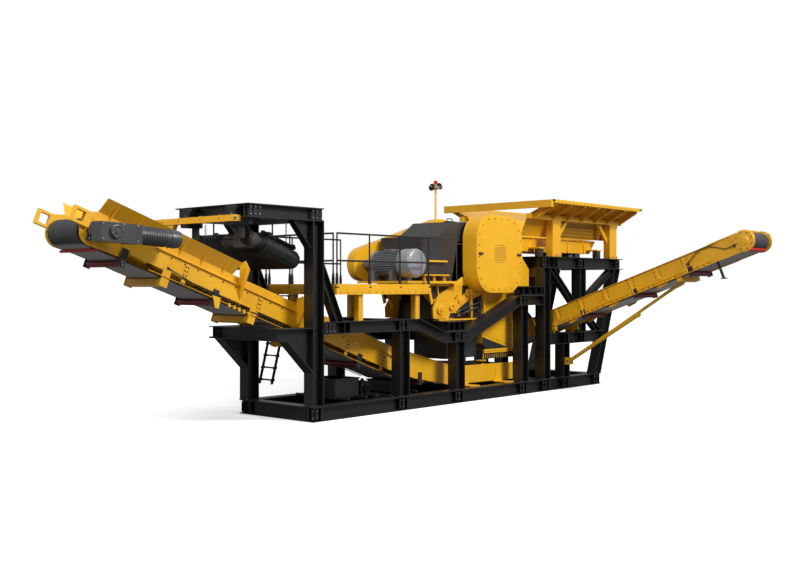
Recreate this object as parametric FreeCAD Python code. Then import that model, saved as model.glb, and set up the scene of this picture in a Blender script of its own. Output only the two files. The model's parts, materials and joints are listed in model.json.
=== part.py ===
import FreeCAD, Part
import math
import os

# Fixed jaw crushing plant: crusher, hopper and feeder on a steel frame, with a main conveyor,
# a fines conveyor to one side and a belt magnet.  Millimetres, +Z up.
# Stations are x from the discharge end of the base frame; the near side is -y.
# When a piece is saved it moves so that the origin is the middle of the base, on the ground.

# ---- driving dimensions -------------------------------------------------------------------
baseLength = 12000.0
baseWidth = 2500.0
beamDepth = 330.0
beamWidth = 300.0
flange = 24.0
web = 14.0
plate = 20.0
runFit = 0.08
beltGap = 5.0

# lower frame
postDepth = 330.0
chordDepth = 280.0
chordHighZ = 2180.0
chordLowZ = 1830.0
chordCrestZ = 2720.0
midBeamBottomZ = 1300.0
feederBeamTopZ = 3820.0
gantryBottomZ = 4390.0
gantryDepth = 290.0
mountDepth = 250.0
post1X = 0.0
post2X = 2850.0
post3X = 4990.0
post4X = 7820.0
post5X = 8920.0
post6X = 9930.0
post7X = 10820.0
legFootX = 11670.0
legTopX = 12830.0
feederBeamEndX = 13340.0
gantryReach = 1810.0
shelfReach = 900.0
shelfTopZ = 2070.0
kneeReach = 500.0
kneeDrop = 590.0
shelfKneeDrop = 1000.0
shelfFootWidth = 150.0
mountStartX = 4600.0
mountEndX = 5390.0
crestMountX = 7820.0

# main conveyor
mainSlope = 0.3616
mainHeadX = -4990.0
mainHeadZ = 3980.0
mainBendX = 3600.0
mainTailX = 8350.0
mainTailZ = 600.0
mainHeadRadius = 250.0
mainTailRadius = 180.0
mainInside = 580.0
beltThickness = 15.0
mainBeltWidth = 1040.0
mainRollerX = [-4250.0, -2100.0, 2150.0, 4300.0]
mainLowMembers = [-3300.0, -1100.0, 600.0]
plateKinkX = -1830.0
flareStartX = plateKinkX
rollerRadius = 62.0
rollerShaft = 20.0
drumShaft = 45.0

# fines conveyor, which rises along -y
sideLeftX = 9450.0
sideRightX = 10500.0
sideSlope = 0.3645
sideRefY = -1200.0
sideRefZ = 2045.0
sideHeadY = -6850.0
sideTailY = 520.0
sideHeadRadius = 200.0
sideTailRadius = 180.0
sideHeight = 480.0
sideRollerY = [-2150.0, -3750.0, -5350.0]
hoodRadius = 275.0
strutRadius = 45.0
strutShoeY = -5000.0

# crusher
crusherHalf = 700.0
crusherPlate = 80.0
shaftX = 6830.0
shaftZ = 3825.0
guardHalfX = 1010.0
guardHalfZ = 1025.0
guardCorner = 640.0
guardFaceY = 1250.0
motorX = 3760.0
motorZ = 3540.0
motorRadius = 360.0
motorBaseZ = 3040.0
pulleyGuardRadius = 430.0
beltGuardDepth = 260.0
motorNearY = -1020.0
motorFarY = 380.0
motorBaseStartX = 3300.0
motorBaseEndX = 5400.0
coverKneeZ = 4230.0
coverTopZ = 4660.0
crusherSideTopZ = 4150.0
crusherSeatX = 7620.0
chuteStartX = 6720.0
chuteEndX = 8210.0
chuteHalf = crusherHalf + 20
chuteLowZ = 1180.0

# platform
deckStartX = 720.0
deckEndX = 3970.0
deckTopZ = 2930.0
deckDepth = 150.0
railHeight = 1250.0
railInset = 45.0
tube = 21.0
legStations = [1490.0, 3470.0]
legWidth = 150.0
ladderWidth = 450.0
ladderFootX = 990.0
ladderFootZ = 600.0
ladderLean = 0.27
rungGap = 290.0

# hopper and feeder
hopperStartX = 8420.0
hopperEndX = 13280.0
hopperRimZ = 5350.0
hopperRimY = baseWidth / 2 + 650.0
hopperBeamBottomZ = 4860.0
hopperBeamDepth = 140.0
hopperPostLeftX = 9380.0
hopperPostRightX = 12550.0
hopperPostWidth = 410.0
panHalf = crusherHalf - 40.0
panFloorZ = 3970.0
panStartX = 8350.0
panEndX = 12650.0
panWallHeight = 400.0
springStations = [9120.0, 12250.0]
springRadius = 120.0
funnelTopZ = 3780.0
funnelLowZ = 3250.0
funnelSkin = 12.0
sleeveX = 9975.0
sleeveRadius = 330.0
sleeveLowZ = 2800.0

# magnet over the main belt
magnetX = -600.0
magnetZ = 3700.0
magnetLength = 1100.0
magnetDepth = 400.0
magnetHalfY = 1395.0
magnetMidY = 465.0
hangerY = 420.0

# mast
mastX = 5640.0
mastFootZ = 4660.0
beaconFootZ = 5660.0

# values that follow
halfWidth = baseWidth / 2
innerY = halfWidth - beamWidth
railY = halfWidth - beamWidth / 2
mainAngle = math.atan(mainSlope)
sideAngle = math.atan(sideSlope)
mainOutside = mainInside + plate
deckBottomZ = deckTopZ - deckDepth
mountTopLow = chordLowZ + mountDepth
mountTopCrest = chordCrestZ + mountDepth
braceTopX = deckStartX - 650
braceFootX = deckStartX + 390


# ---- general helpers ----------------------------------------------------------------------
def save(node, shape):
    """Write one solid, or a list of solids that don't touch, as a node's file."""
    shape = Part.makeCompound(shape) if isinstance(shape, list) else shape.copy()
    shape.translate(FreeCAD.Vector(-baseLength / 2, 0, 0))
    shape.exportStep("parts/" + node + ".step")


def fuse(solids):
    whole = solids[0]
    for solid in solids[1:]:
        whole = whole.fuse(solid)
    return whole.removeSplitter()


def block(x0, x1, y0, y1, z0, z1):
    low = FreeCAD.Vector(min(x0, x1), min(y0, y1), min(z0, z1))
    return Part.makeBox(abs(x1 - x0), abs(y1 - y0), abs(z1 - z0), low)


def plateXZ(points, y0, y1):
    """A flat outline of x, z points, from y0 to y1."""
    corners = [FreeCAD.Vector(x, min(y0, y1), z) for x, z in points]
    face = Part.Face(Part.makePolygon(corners + [corners[0]]))
    return face.extrude(FreeCAD.Vector(0, abs(y1 - y0), 0))


def plateYZ(points, x0, x1):
    """A flat outline of y, z points, from x0 to x1."""
    corners = [FreeCAD.Vector(min(x0, x1), y, z) for y, z in points]
    face = Part.Face(Part.makePolygon(corners + [corners[0]]))
    return face.extrude(FreeCAD.Vector(abs(x1 - x0), 0, 0))


def rodY(x, z, radius, y0, y1):
    low = FreeCAD.Vector(x, min(y0, y1), z)
    return Part.makeCylinder(radius, abs(y1 - y0), low, FreeCAD.Vector(0, 1, 0))


def rodX(y, z, radius, x0, x1):
    low = FreeCAD.Vector(min(x0, x1), y, z)
    return Part.makeCylinder(radius, abs(x1 - x0), low, FreeCAD.Vector(1, 0, 0))


def rodBetween(start, end, radius):
    start = FreeCAD.Vector(*start)
    end = FreeCAD.Vector(*end)
    return Part.makeCylinder(radius, (end - start).Length, start, end - start)


def offsetLine(points, distance):
    """The same line moved to its right by a distance, with mitred corners."""
    moved = []
    for i, point in enumerate(points):
        normals = []
        if i > 0:
            normals.append(rightNormal(points[i - 1], point))
        if i < len(points) - 1:
            normals.append(rightNormal(point, points[i + 1]))
        sumU = sum(n[0] for n in normals)
        sumV = sum(n[1] for n in normals)
        length = math.hypot(sumU, sumV)
        stretch = distance / (length / len(normals))
        moved.append((point[0] + sumU / length * stretch, point[1] + sumV / length * stretch))
    return moved


def rightNormal(start, end):
    du = end[0] - start[0]
    dv = end[1] - start[1]
    length = math.hypot(du, dv)
    return (dv / length, -du / length)


def band(points, near, far):
    """The closed outline between two offsets of one line."""
    return offsetLine(points, near) + offsetLine(points, far)[::-1]


def iBeam(points, depth, yMid, width=beamWidth):
    """An I-section that follows x, z points along its top, with its web upright."""
    top = plateXZ(band(points, 0, flange), yMid - width / 2, yMid + width / 2)
    bottom = plateXZ(band(points, depth - flange, depth), yMid - width / 2, yMid + width / 2)
    middle = plateXZ(band(points, flange, depth - flange), yMid - web / 2, yMid + web / 2)
    return fuse([top, middle, bottom])


def stiffeners(xs, z0, z1, yMid, width=beamWidth):
    """Upright plates between an I-section's flanges, on both sides of its web."""
    return [block(x - web / 2, x + web / 2, yMid - width / 2, yMid + width / 2, z0, z1) for x in xs]


def post(x0, z0, z1, yMid, width=postDepth):
    """An H-section post whose flanges face along x."""
    return iBeam([(x0 + width, z0), (x0 + width, z1)][::-1], width, yMid)


def crossBeam(x0, width, topZ, depth, y0=-innerY, y1=innerY):
    """An I-section laid along y between two beams."""
    top = block(x0, x0 + width, y0, y1, topZ - flange, topZ)
    bottom = block(x0, x0 + width, y0, y1, topZ - depth, topZ - depth + flange)
    mid = x0 + width / 2
    middle = block(mid - web / 2, mid + web / 2, y0, y1, topZ - depth + flange, topZ - flange)
    return fuse([top, middle, bottom])


def bothSides(make):
    return [make(-1), make(1)]


# ---- frame --------------------------------------------------------------------------------
postStations = [post1X, post2X, post3X, post4X, post5X, post6X]


def baseBeam(side):
    y = side * railY
    beam = iBeam([(0, beamDepth), (baseLength, beamDepth)], beamDepth, y)
    marks = []
    for x in postStations + [legFootX]:
        marks += [x + postDepth * 0.25, x + postDepth * 0.75]
    return fuse([beam] + stiffeners(marks, flange, beamDepth - flange, y))


def baseCrossBeams():
    stations = [0, post2X, baseLength / 2 - beamWidth / 2, post5X, baseLength - beamWidth]
    return [crossBeam(x, beamWidth, beamDepth, beamDepth) for x in stations]


def chordPoints():
    return [(post1X + postDepth, chordHighZ), (3570, chordHighZ), (4550, chordLowZ),
            (5440, chordLowZ), (7730, chordCrestZ), (post5X, chordCrestZ)]


def upperChord(side):
    y = side * railY
    beam = iBeam(chordPoints(), chordDepth, y)
    marks = []
    for x, top in ((post1X + 900, chordHighZ), (post2X, chordHighZ), (post3X, chordLowZ),
                   (post4X + 60, chordCrestZ)):
        for share in (0.25, 0.75):
            spot = x + postDepth * share
            marks += stiffeners([spot], top - chordDepth + flange, top - flange, y)
    return fuse([beam] + marks)


def lowerPosts(side):
    y = side * railY
    tops = [(post1X, gantryBottomZ), (post2X, chordHighZ - chordDepth),
            (post3X, chordLowZ - chordDepth), (post4X, chordCrestZ - chordDepth),
            (post5X, feederBeamTopZ - beamDepth), (post6X, midBeamBottomZ)]
    posts = [post(x, beamDepth, top, y) for x, top in tops]
    upper = post(post7X, midBeamBottomZ + beamDepth, feederBeamTopZ - beamDepth, y)
    return posts + [upper]


def upperCrossBeams():
    return [crossBeam(post2X, beamWidth, chordHighZ, chordDepth),
            crossBeam(post3X, beamWidth, chordLowZ, chordDepth),
            crossBeam(post4X + 500, beamWidth, chordCrestZ, chordDepth)]


def crusherMounts():
    lowTop = chordLowZ + mountDepth
    crestTop = chordCrestZ + mountDepth
    pieces = []
    for side in (-1, 1):
        low = iBeam([(mountStartX, lowTop), (mountEndX, lowTop)], mountDepth, side * railY)
        marks = [mountStartX + share * (mountEndX - mountStartX) for share in (0.1, 0.36, 0.64, 0.9)]
        low = fuse([low] + stiffeners(marks, chordLowZ + flange, lowTop - flange, side * railY))
        crest = iBeam([(crestMountX, crestTop), (post5X, crestTop)], mountDepth, side * railY)
        marks = [crestMountX + share * (post5X - crestMountX) for share in (0.1, 0.35, 0.65, 0.9)]
        crest = fuse([crest] + stiffeners(marks, chordCrestZ + flange, crestTop - flange,
                                          side * railY))
        pieces += [low, crest]
    pieces.append(crossBeam(mountStartX + 100, 600, lowTop, mountDepth))
    pieces.append(crossBeam(post4X + 500, 500, crestTop, mountDepth))
    return pieces


def gantryBeam(side):
    top = gantryBottomZ + gantryDepth
    return iBeam([(-gantryReach, top), (post1X + postDepth, top)], gantryDepth, side * railY)


def gantryCrossBeams():
    top = gantryBottomZ + gantryDepth
    return [crossBeam(-gantryReach, beamWidth, top, gantryDepth),
            crossBeam(post1X, beamWidth, top, gantryDepth), hangerBeam()]


def trimmed(shape, x0, x1, z0, z1):
    return shape.common(block(x0, x1, -halfWidth, halfWidth, z0, z1))


def gantryBraces():
    """A knee under each gantry beam and a long brace from each end post to the chord."""
    pieces = []
    for side in (-1, 1):
        y = side * railY
        slope = [(-kneeReach, gantryBottomZ), (post1X, gantryBottomZ - kneeDrop)]
        knee = plateXZ([slope[0], (post1X, gantryBottomZ), slope[1]], y - plate / 2, y + plate / 2)
        flangeLine = plateXZ(band(slope, 0, flange), y - 100, y + 100)
        pieces.append(fuse([knee, trimmed(flangeLine, -2000, post1X, 2000, gantryBottomZ)]))
        brace = iBeam([(braceTopX, gantryBottomZ - 250), (braceFootX, chordHighZ - 250)], 220, y, 200)
        pieces.append(trimmed(brace, post1X + postDepth, 2000, chordHighZ, gantryBottomZ))
    return pieces


def shelfArms():
    """Arms that reach out from the end posts, each with a knee below."""
    arms = []
    for side in (-1, 1):
        y = side * railY
        low = shelfTopZ - chordDepth
        inner = -shelfReach + shelfFootWidth
        kneeZ = shelfTopZ - shelfKneeDrop
        outline = [(-shelfReach, shelfTopZ), (post1X, shelfTopZ), (post1X, kneeZ), (inner, low),
                   (-shelfReach, low)]
        upright = plateXZ(outline, y - web / 2, y + web / 2)
        top = block(-shelfReach, post1X, y - beamWidth / 2, y + beamWidth / 2,
                    shelfTopZ - flange, shelfTopZ)
        knee = plateXZ([(inner, low), (post1X, kneeZ), (post1X, kneeZ + 40), (inner, low + 40)],
                       y - beamWidth / 2, y + beamWidth / 2)
        foot = block(-shelfReach, inner, y - beamWidth / 2, y + beamWidth / 2, low, low + 40)
        arms.append(fuse([upright, top, knee, foot]))
    return arms


def shelfBeam():
    """The cross-beam between the arms."""
    return crossBeam(-shelfReach, beamWidth, shelfTopZ, chordDepth)


def leaningLeg(side):
    y = side * railY
    rise = feederBeamTopZ - beamDepth - beamDepth
    lean = (legTopX - legFootX) / rise
    over = 100.0
    width = postDepth / math.sqrt(1 + lean * lean)
    start = (legFootX + postDepth - lean * over, beamDepth - over)
    end = (legTopX + postDepth + lean * over, feederBeamTopZ - beamDepth + over)
    leg = iBeam([end, start], width, y)
    return trimmed(leg, legFootX - 500, legTopX + 1000, beamDepth, feederBeamTopZ - beamDepth)


def legFaceX(z):
    """The leaning leg's face towards the plant, at a height."""
    rise = feederBeamTopZ - 2 * beamDepth
    return legFootX + (legTopX - legFootX) * (z - beamDepth) / rise


def midBeam(side):
    """The beam between the last full post and the leaning leg, cut to the leg's slope."""
    y = side * railY
    top = midBeamBottomZ + beamDepth
    beam = iBeam([(post5X + postDepth, top), (legFaceX(top) + 200, top)], beamDepth, y)
    marks = []
    for x in (post6X, post7X):
        marks += [x + postDepth * 0.25, x + postDepth * 0.75]
    beam = fuse([beam] + stiffeners(marks, midBeamBottomZ + flange, top - flange, y))
    outline = [(post5X, midBeamBottomZ), (legFaceX(midBeamBottomZ), midBeamBottomZ),
               (legFaceX(top), top), (post5X, top)]
    return beam.common(plateXZ(outline, -halfWidth, halfWidth))


def feederBeam(side):
    y = side * railY
    beam = iBeam([(post5X, feederBeamTopZ), (feederBeamEndX, feederBeamTopZ)], beamDepth, y)
    marks = []
    for x in (post5X, hopperPostLeftX, post7X, legTopX):
        marks += [x + postDepth * 0.25, x + postDepth * 0.75]
    return fuse([beam] + stiffeners(marks, feederBeamTopZ - beamDepth + flange,
                                    feederBeamTopZ - flange, y))


def feederCrossBeams():
    return [crossBeam(post5X, beamWidth, feederBeamTopZ, beamDepth),
            crossBeam(post7X, beamWidth, feederBeamTopZ, beamDepth),
            crossBeam(feederBeamEndX - beamWidth, beamWidth, feederBeamTopZ, beamDepth)]


def kBraces():
    """Braces in each side plane under the feeder beams."""
    low = feederBeamTopZ - beamDepth
    pieces = []
    for side in (-1, 1):
        y = side * railY
        left = iBeam([(post5X + 350, low + 250), (post7X + 250, 2450 - 250)], 180, y, 180)
        pieces.append(trimmed(left, post5X + postDepth, post7X, midBeamBottomZ + beamDepth, low))
        right = iBeam([(post7X + 100, 2466), (legTopX + 400, 3816)], 180, y, 180)
        edge = plateXZ([(post7X + postDepth, 1700), (legFaceX(1700), 1700), (legFaceX(low), low),
                        (post7X + postDepth, low)], -halfWidth, halfWidth)
        pieces.append(right.common(edge))
        lower = iBeam([(post7X + 100, 2520), (legFootX + 1000, 1220)], 180, y, 180)
        edge = plateXZ([(post7X + postDepth, midBeamBottomZ + beamDepth),
                        (legFaceX(midBeamBottomZ + beamDepth), midBeamBottomZ + beamDepth),
                        (legFaceX(low), low), (post7X + postDepth, low)], -halfWidth, halfWidth)
        pieces.append(lower.common(edge))
    return pieces


# ---- conveyors ----------------------------------------------------------------------------
class Run:
    """The line of a belt between its drum centres, seen from the side: head, bend and tail."""

    def __init__(self, head, headRadius, bend, tail, tailRadius):
        self.head = head
        self.bend = bend
        self.tail = tail
        self.headRadius = headRadius
        self.tailRadius = tailRadius
        self.climb = math.atan2(head[1] - bend[1], bend[0] - head[0])
        self.level = math.atan2(bend[1] - tail[1], tail[0] - bend[0])

    def isClimb(self, along):
        return along < self.bend[0]

    def slope(self, along):
        return self.climb if self.isClimb(along) else self.level

    def axis(self, along):
        """Height of the drum line."""
        if self.isClimb(along):
            return self.head[1] - math.tan(self.climb) * (along - self.head[0])
        return self.bend[1] - math.tan(self.level) * (along - self.bend[0])

    def half(self, along):
        """From the drum line to the belt's inner face, square to the line."""
        mid = (self.headRadius + self.tailRadius) / 2
        if self.isClimb(along):
            share = (along - self.head[0]) / (self.bend[0] - self.head[0])
            return self.headRadius + share * (mid - self.headRadius)
        share = (along - self.bend[0]) / (self.tail[0] - self.bend[0])
        return mid + share * (self.tailRadius - mid)

    def at(self, along, up):
        """A point square to the drum line by a distance, positive upwards."""
        a = self.slope(along)
        return (along + up * math.sin(a), self.axis(along) + up * math.cos(a))

    def wire(self, extra):
        """The closed line of the belt's inner face, moved outwards by a distance."""
        headR = self.headRadius + extra
        tailR = self.tailRadius + extra
        climb = math.degrees(self.climb)
        level = math.degrees(self.level)
        reach = (headR + tailR) / 2 / math.cos((self.climb - self.level) / 2)
        mean = (climb + level) / 2
        headTop = polar(self.head, headR, 90 - climb)
        headFront = polar(self.head, headR, 180 - climb)
        headLow = polar(self.head, headR, 270 - climb)
        tailTop = polar(self.tail, tailR, 90 - level)
        tailBack = polar(self.tail, tailR, -level)
        tailLow = polar(self.tail, tailR, -90 - level)
        bendTop = polar(self.bend, reach, 90 - mean)
        bendLow = polar(self.bend, reach, 270 - mean)
        return Part.Wire([Part.Arc(headLow, headFront, headTop).toShape(),
                          Part.makeLine(headTop, bendTop), Part.makeLine(bendTop, tailTop),
                          Part.Arc(tailTop, tailBack, tailLow).toShape(),
                          Part.makeLine(tailLow, bendLow), Part.makeLine(bendLow, headLow)])

    def belt(self, width):
        face = Part.makeFace([self.wire(beltThickness), self.wire(0)], "Part::FaceMakerBullseye")
        loop = face.extrude(FreeCAD.Vector(0, width, 0))
        loop.translate(FreeCAD.Vector(0, -width / 2, 0))
        return loop

    def roller(self, along):
        """Centre of a return roller just under the belt."""
        return self.at(along, -(self.half(along) + beltThickness + beltGap + rollerRadius))


def polar(centre, radius, degrees):
    angle = math.radians(degrees)
    return FreeCAD.Vector(centre[0] + radius * math.cos(angle), 0,
                          centre[1] + radius * math.sin(angle))


mainBendZ = mainHeadZ - mainSlope * (mainBendX - mainHeadX)
mainRun = Run((mainHeadX, mainHeadZ), mainHeadRadius + beltGap, (mainBendX, mainBendZ),
              (mainTailX, mainTailZ), mainTailRadius)


def slanted(run, start, end, low, high, y0, y1):
    """A bar along the drum line, between two heights square to it."""
    outline = [run.at(start, low), run.at(end, low), run.at(end, high), run.at(start, high)]
    return plateXZ(outline, y0, y1)


def mainPlateOutline():
    """Side plate: a straight climb, then a bend down to the level tail under the crusher."""
    lowHead = mainRun.at(mainHeadX, -105)
    highHead = mainRun.at(mainHeadX, 400)
    tailEnd = mainTailX + mainTailRadius + 120
    return [(lowHead[0] - 230, lowHead[1] + 160), lowHead, mainRun.at(3100, -105), (4100, 650),
            (5500, 390), (tailEnd, 360), (tailEnd, 830), (6000, 860), (5300, 960),
            mainRun.at(3100, 470), mainRun.at(plateKinkX, 400), highHead,
            (highHead[0] - 300, highHead[1])]


def mainSidePlate(side):
    shape = plateXZ(mainPlateOutline(), side * mainInside, side * mainOutside)
    hole = rodY(mainHeadX, mainHeadZ, drumShaft + runFit, -mainOutside - 50, mainOutside + 50)
    return shape.cut(hole)


def mainCrossMembers():
    """Bars under the carrying run, from side plate to side plate."""
    bars = []
    for x in range(-4300, 8200, 1250):
        if abs(x - mainBendX) < 350:
            continue
        high = mainRun.half(x + 60) - 4
        bars.append(slanted(mainRun, x - 60, x + 60, high - 90, high, -mainInside, mainInside))
    return bars


def mainUnderMembers():
    """Box bars below the return run, hung on an end plate at each side."""
    pieces = []
    for x in mainLowMembers:
        drop = mainRun.half(x) + beltThickness
        y = mainOutside
        bar = slanted(mainRun, x - 70, x + 70, -drop - 150, -drop - 30, -y - plate, y + plate)
        ends = [slanted(mainRun, x - 90, x + 90, -drop - 170, -60, side * y, side * (y + plate))
                for side in (-1, 1)]
        pieces.append(fuse([bar] + ends))
    return pieces


def rollerBracket(run, along, y0, y1, reachUp):
    """A hanging plate with a bearing hole for a return roller."""
    x, z = run.roller(along)
    drop = run.half(along) + beltThickness + beltGap + rollerRadius
    plate_ = slanted(run, along - 70, along + 70, -drop - 70, reachUp, y0, y1)
    return plate_.cut(rodY(x, z, rollerShaft + runFit, min(y0, y1) - 10, max(y0, y1) + 10))


def mainRollerBrackets():
    brackets = []
    for x in mainRollerX:
        for side in (-1, 1):
            brackets.append(rollerBracket(mainRun, x, side * mainOutside,
                                          side * (mainOutside + plate), -40))
    return brackets


def roller(x, z, half, shaftHalf):
    body = rodY(x, z, rollerRadius, -half, half)
    return body.fuse(rodY(x, z, rollerShaft, -shaftHalf, shaftHalf)).removeSplitter()


def mainRoller(along):
    x, z = mainRun.roller(along)
    return roller(x, z, mainInside - 10, mainOutside + plate - 2)


def mainHeadDrum():
    body = rodY(mainHeadX, mainHeadZ, mainHeadRadius, -mainBeltWidth / 2, mainBeltWidth / 2)
    shaft = rodY(mainHeadX, mainHeadZ, drumShaft, -mainOutside + 5, mainOutside - 5)
    return body.fuse(shaft).removeSplitter()


def mainTailDrum():
    radius = mainTailRadius - 0.3
    body = rodY(mainTailX, mainTailZ, radius, -mainBeltWidth / 2, mainBeltWidth / 2)
    shaft = rodY(mainTailX, mainTailZ, drumShaft, -mainInside, mainInside)
    return body.fuse(shaft).removeSplitter()


def mainFlare(side):
    """The outward-leaning skirt on a side plate, with ribs below it."""
    low = 400.0
    high = 660.0
    lean = 210.0
    y0 = side * mainInside
    y1 = side * mainOutside
    ends = [mainRun.at(flareStartX, low), mainRun.at(mainHeadX, low)]
    tops = [mainRun.at(flareStartX, high), mainRun.at(mainHeadX, high)]
    corners = []
    for (lowX, lowZ), (topX, topZ) in zip(ends, tops):
        corners.append([(lowX, y0, lowZ), (lowX, y1, lowZ), (topX, y1 + side * lean, topZ),
                        (topX, y0 + side * lean, topZ)])
    skin = prism(corners[0], corners[1])
    ribs = []
    for step in range(6):
        x = flareStartX + (mainHeadX - flareStartX) * (step + 0.5) / 6
        lowX, lowZ = mainRun.at(x, low - 120)
        baseX, baseZ = mainRun.at(x, low)
        topX, topZ = mainRun.at(x, high - 20)
        reach = y1 + side * lean * (high - 20 - low) / (high - low)
        near = [(lowX, y1, lowZ), (topX, reach, topZ), (baseX, y1, baseZ)]
        far = [(px - 12, py, pz + 12 * mainSlope) for px, py, pz in near]
        ribs.append(prism(near, far))
    return fuse([skin] + ribs)


def prism(first, second):
    """A solid between two like polygons."""
    first = [FreeCAD.Vector(*p) for p in first]
    second = [FreeCAD.Vector(*p) for p in second]
    faces = [Part.Face(Part.makePolygon(first + [first[0]])),
             Part.Face(Part.makePolygon(second + [second[0]]))]
    count = len(first)
    for i in range(count):
        j = (i + 1) % count
        ring = [first[i], first[j], second[j], second[i]]
        faces.append(Part.Face(Part.makePolygon(ring + [ring[0]])))
    solid = Part.Solid(Part.Shell(faces))
    if solid.Volume < 0:
        solid.reverse()
    return solid


def mainFins(side):
    """Two upright wing plates on the outside of the conveyor, leaning out at the top."""
    fins = []
    for x, high in ((-1500.0, 780.0), (120.0, 620.0)):
        low = mainRun.axis(x) - 20
        top = mainRun.axis(x) + high
        outline = [(side * mainOutside, low), (side * (mainOutside + 30), low),
                   (side * (mainOutside + 330), top - 190), (side * (mainOutside + 200), top),
                   (side * mainOutside, top - 60)]
        fins.append(plateYZ(outline, x - 12, x))
    return fins


def mainHeadBrackets():
    """A belt-tension frame on the outside of each side plate at the head."""
    pieces = []
    for side in (-1, 1):
        y0 = side * mainOutside
        y1 = side * (mainOutside + 90)
        outer = slanted(mainRun, mainHeadX - 490, mainHeadX - 130, 20, 320, y0, y1)
        inner = slanted(mainRun, mainHeadX - 440, mainHeadX - 250, 70, 270, y0 - side * 5,
                        y1 + side * 5)
        pieces.append(outer.cut(inner))
    return pieces


def mainGearmotor():
    """Gearbox on a hub over the drum shaft, with its motor lying nearly level beside the plate."""
    hubEnd = -mainOutside - 265
    depth = 330
    hub = rodY(mainHeadX, mainHeadZ, 120, -mainOutside, hubEnd)
    tilt = 0.06
    box = plateXZ([(mainHeadX - 170, mainHeadZ - 190), (mainHeadX + 690, mainHeadZ - 190 - 690 * tilt),
                   (mainHeadX + 690, mainHeadZ + 170 - 690 * tilt), (mainHeadX - 170, mainHeadZ + 170)],
                  hubEnd, hubEnd - depth)
    cap = rodY(mainHeadX + 130, mainHeadZ - 10, 120, hubEnd - depth, hubEnd - depth - 40)
    y = hubEnd - depth / 2
    start = (mainHeadX + 690, y, mainHeadZ - 10 - 690 * tilt)
    end = (mainHeadX + 1600, y, mainHeadZ - 10 - 1600 * tilt)
    return fuse([hub, box, cap, rodBetween(start, end, 165)])


def mainTailSupports():
    """Triangular feet that stand the level part on the base frame."""
    feet = []
    for x in (baseLength / 2 - beamWidth / 2, post4X - 420):
        for side in (-1, 1):
            outline = [(x, beamDepth), (x + 420, beamDepth), (x + 420, beamDepth + 30),
                       (x + 250, 700), (x + 120, 700), (x, beamDepth + 30)]
            feet.append(plateXZ(outline, side * mainOutside, side * (mainOutside + plate)))
            feet[-1] = feet[-1].fuse(block(x, x + 420, side * mainOutside, side * (innerY + 60),
                                           beamDepth, beamDepth + 25)).removeSplitter()
    return feet


# The fines conveyor is drawn in the same way with "along" = y, then turned to rise along -y.
def sideAxisAt(y):
    return sideRefZ + sideSlope * (sideRefY - y)


sideRun = Run((sideHeadY, sideAxisAt(sideHeadY)), sideHeadRadius + beltGap,
              ((sideHeadY + sideTailY) / 2, sideAxisAt((sideHeadY + sideTailY) / 2)),
              (sideTailY, sideAxisAt(sideTailY)), sideTailRadius)
sideMidX = (sideLeftX + sideRightX) / 2
sideOutside = (sideRightX - sideLeftX) / 2
sideInside = sideOutside - plate
sideBeltWidth = 2 * sideInside - 100


def turned(shape):
    """From the drawing plane, where along is x, to the plant, where along is y."""
    shape = shape.copy()
    shape.rotate(FreeCAD.Vector(0, 0, 0), FreeCAD.Vector(0, 0, 1), 90)
    shape.translate(FreeCAD.Vector(sideMidX, 0, 0))
    return shape


def sidePlate(side):
    half = sideHeight / 2
    head = sideHeadY
    tail = sideTailY + sideTailRadius + 60
    outline = [sideRun.at(head - 120, -120), sideRun.at(head + 150, -half), sideRun.at(tail, -half),
               sideRun.at(tail, half), sideRun.at(head + 100, half), sideRun.at(head - 260, 120),
               sideRun.at(head - 260, -20)]
    shape = plateXZ(outline, side * sideInside, side * sideOutside)
    hole = rodY(head, sideRun.axis(head), drumShaft + runFit, -sideOutside - 50, sideOutside + 50)
    return turned(shape.cut(hole))


def sideCrossMembers():
    bars = []
    for y in range(-6300, 500, 1100):
        high = sideRun.half(y + 40) - 3
        bars.append(slanted(sideRun, y - 40, y + 40, high - 70, high, -sideInside, sideInside))
    return [turned(piece) for piece in bars]


def sideRollerBrackets():
    brackets = []
    for y in sideRollerY:
        for side in (-1, 1):
            brackets.append(rollerBracket(sideRun, y, side * sideOutside,
                                          side * (sideOutside + plate), -90))
    return [turned(piece) for piece in brackets]


def sideRoller(along):
    x, z = sideRun.roller(along)
    return turned(roller(x, z, sideInside - 10, sideOutside + plate - 2))


def sideHeadDrum():
    z = sideRun.axis(sideHeadY)
    body = rodY(sideHeadY, z, sideHeadRadius, -sideBeltWidth / 2, sideBeltWidth / 2)
    shaft = rodY(sideHeadY, z, drumShaft, -sideOutside + 5, sideOutside - 5)
    return turned(body.fuse(shaft).removeSplitter())


def sideTailDrum():
    z = sideRun.axis(sideTailY)
    radius = sideTailRadius - 0.3
    body = rodY(sideTailY, z, radius, -sideBeltWidth / 2, sideBeltWidth / 2)
    shaft = rodY(sideTailY, z, drumShaft, -sideInside, sideInside)
    return turned(body.fuse(shaft).removeSplitter())


def sideHood():
    """Rounded guard over the head drum, seated on the side plates' top edges."""
    z = sideRun.axis(sideHeadY)
    cheeks = []
    for side in (-1, 1):
        ring = rodY(sideHeadY, z, hoodRadius, side * sideOutside, side * (sideOutside + plate))
        cheeks.append(ring.cut(rodY(sideHeadY, z, drumShaft + 40, -2000, 2000)))
    cover = slanted(sideRun, sideHeadY + 100, sideHeadY + 900, sideHeight / 2, sideHeight / 2 + 25,
                    -sideOutside - plate, sideOutside + plate)
    ties = [slanted(sideRun, sideHeadY + 100, sideHeadY + 300, 120, sideHeight / 2 + 25,
                    side * sideOutside, side * (sideOutside + plate)) for side in (-1, 1)]
    return turned(fuse([cover] + ties + cheeks))


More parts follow.
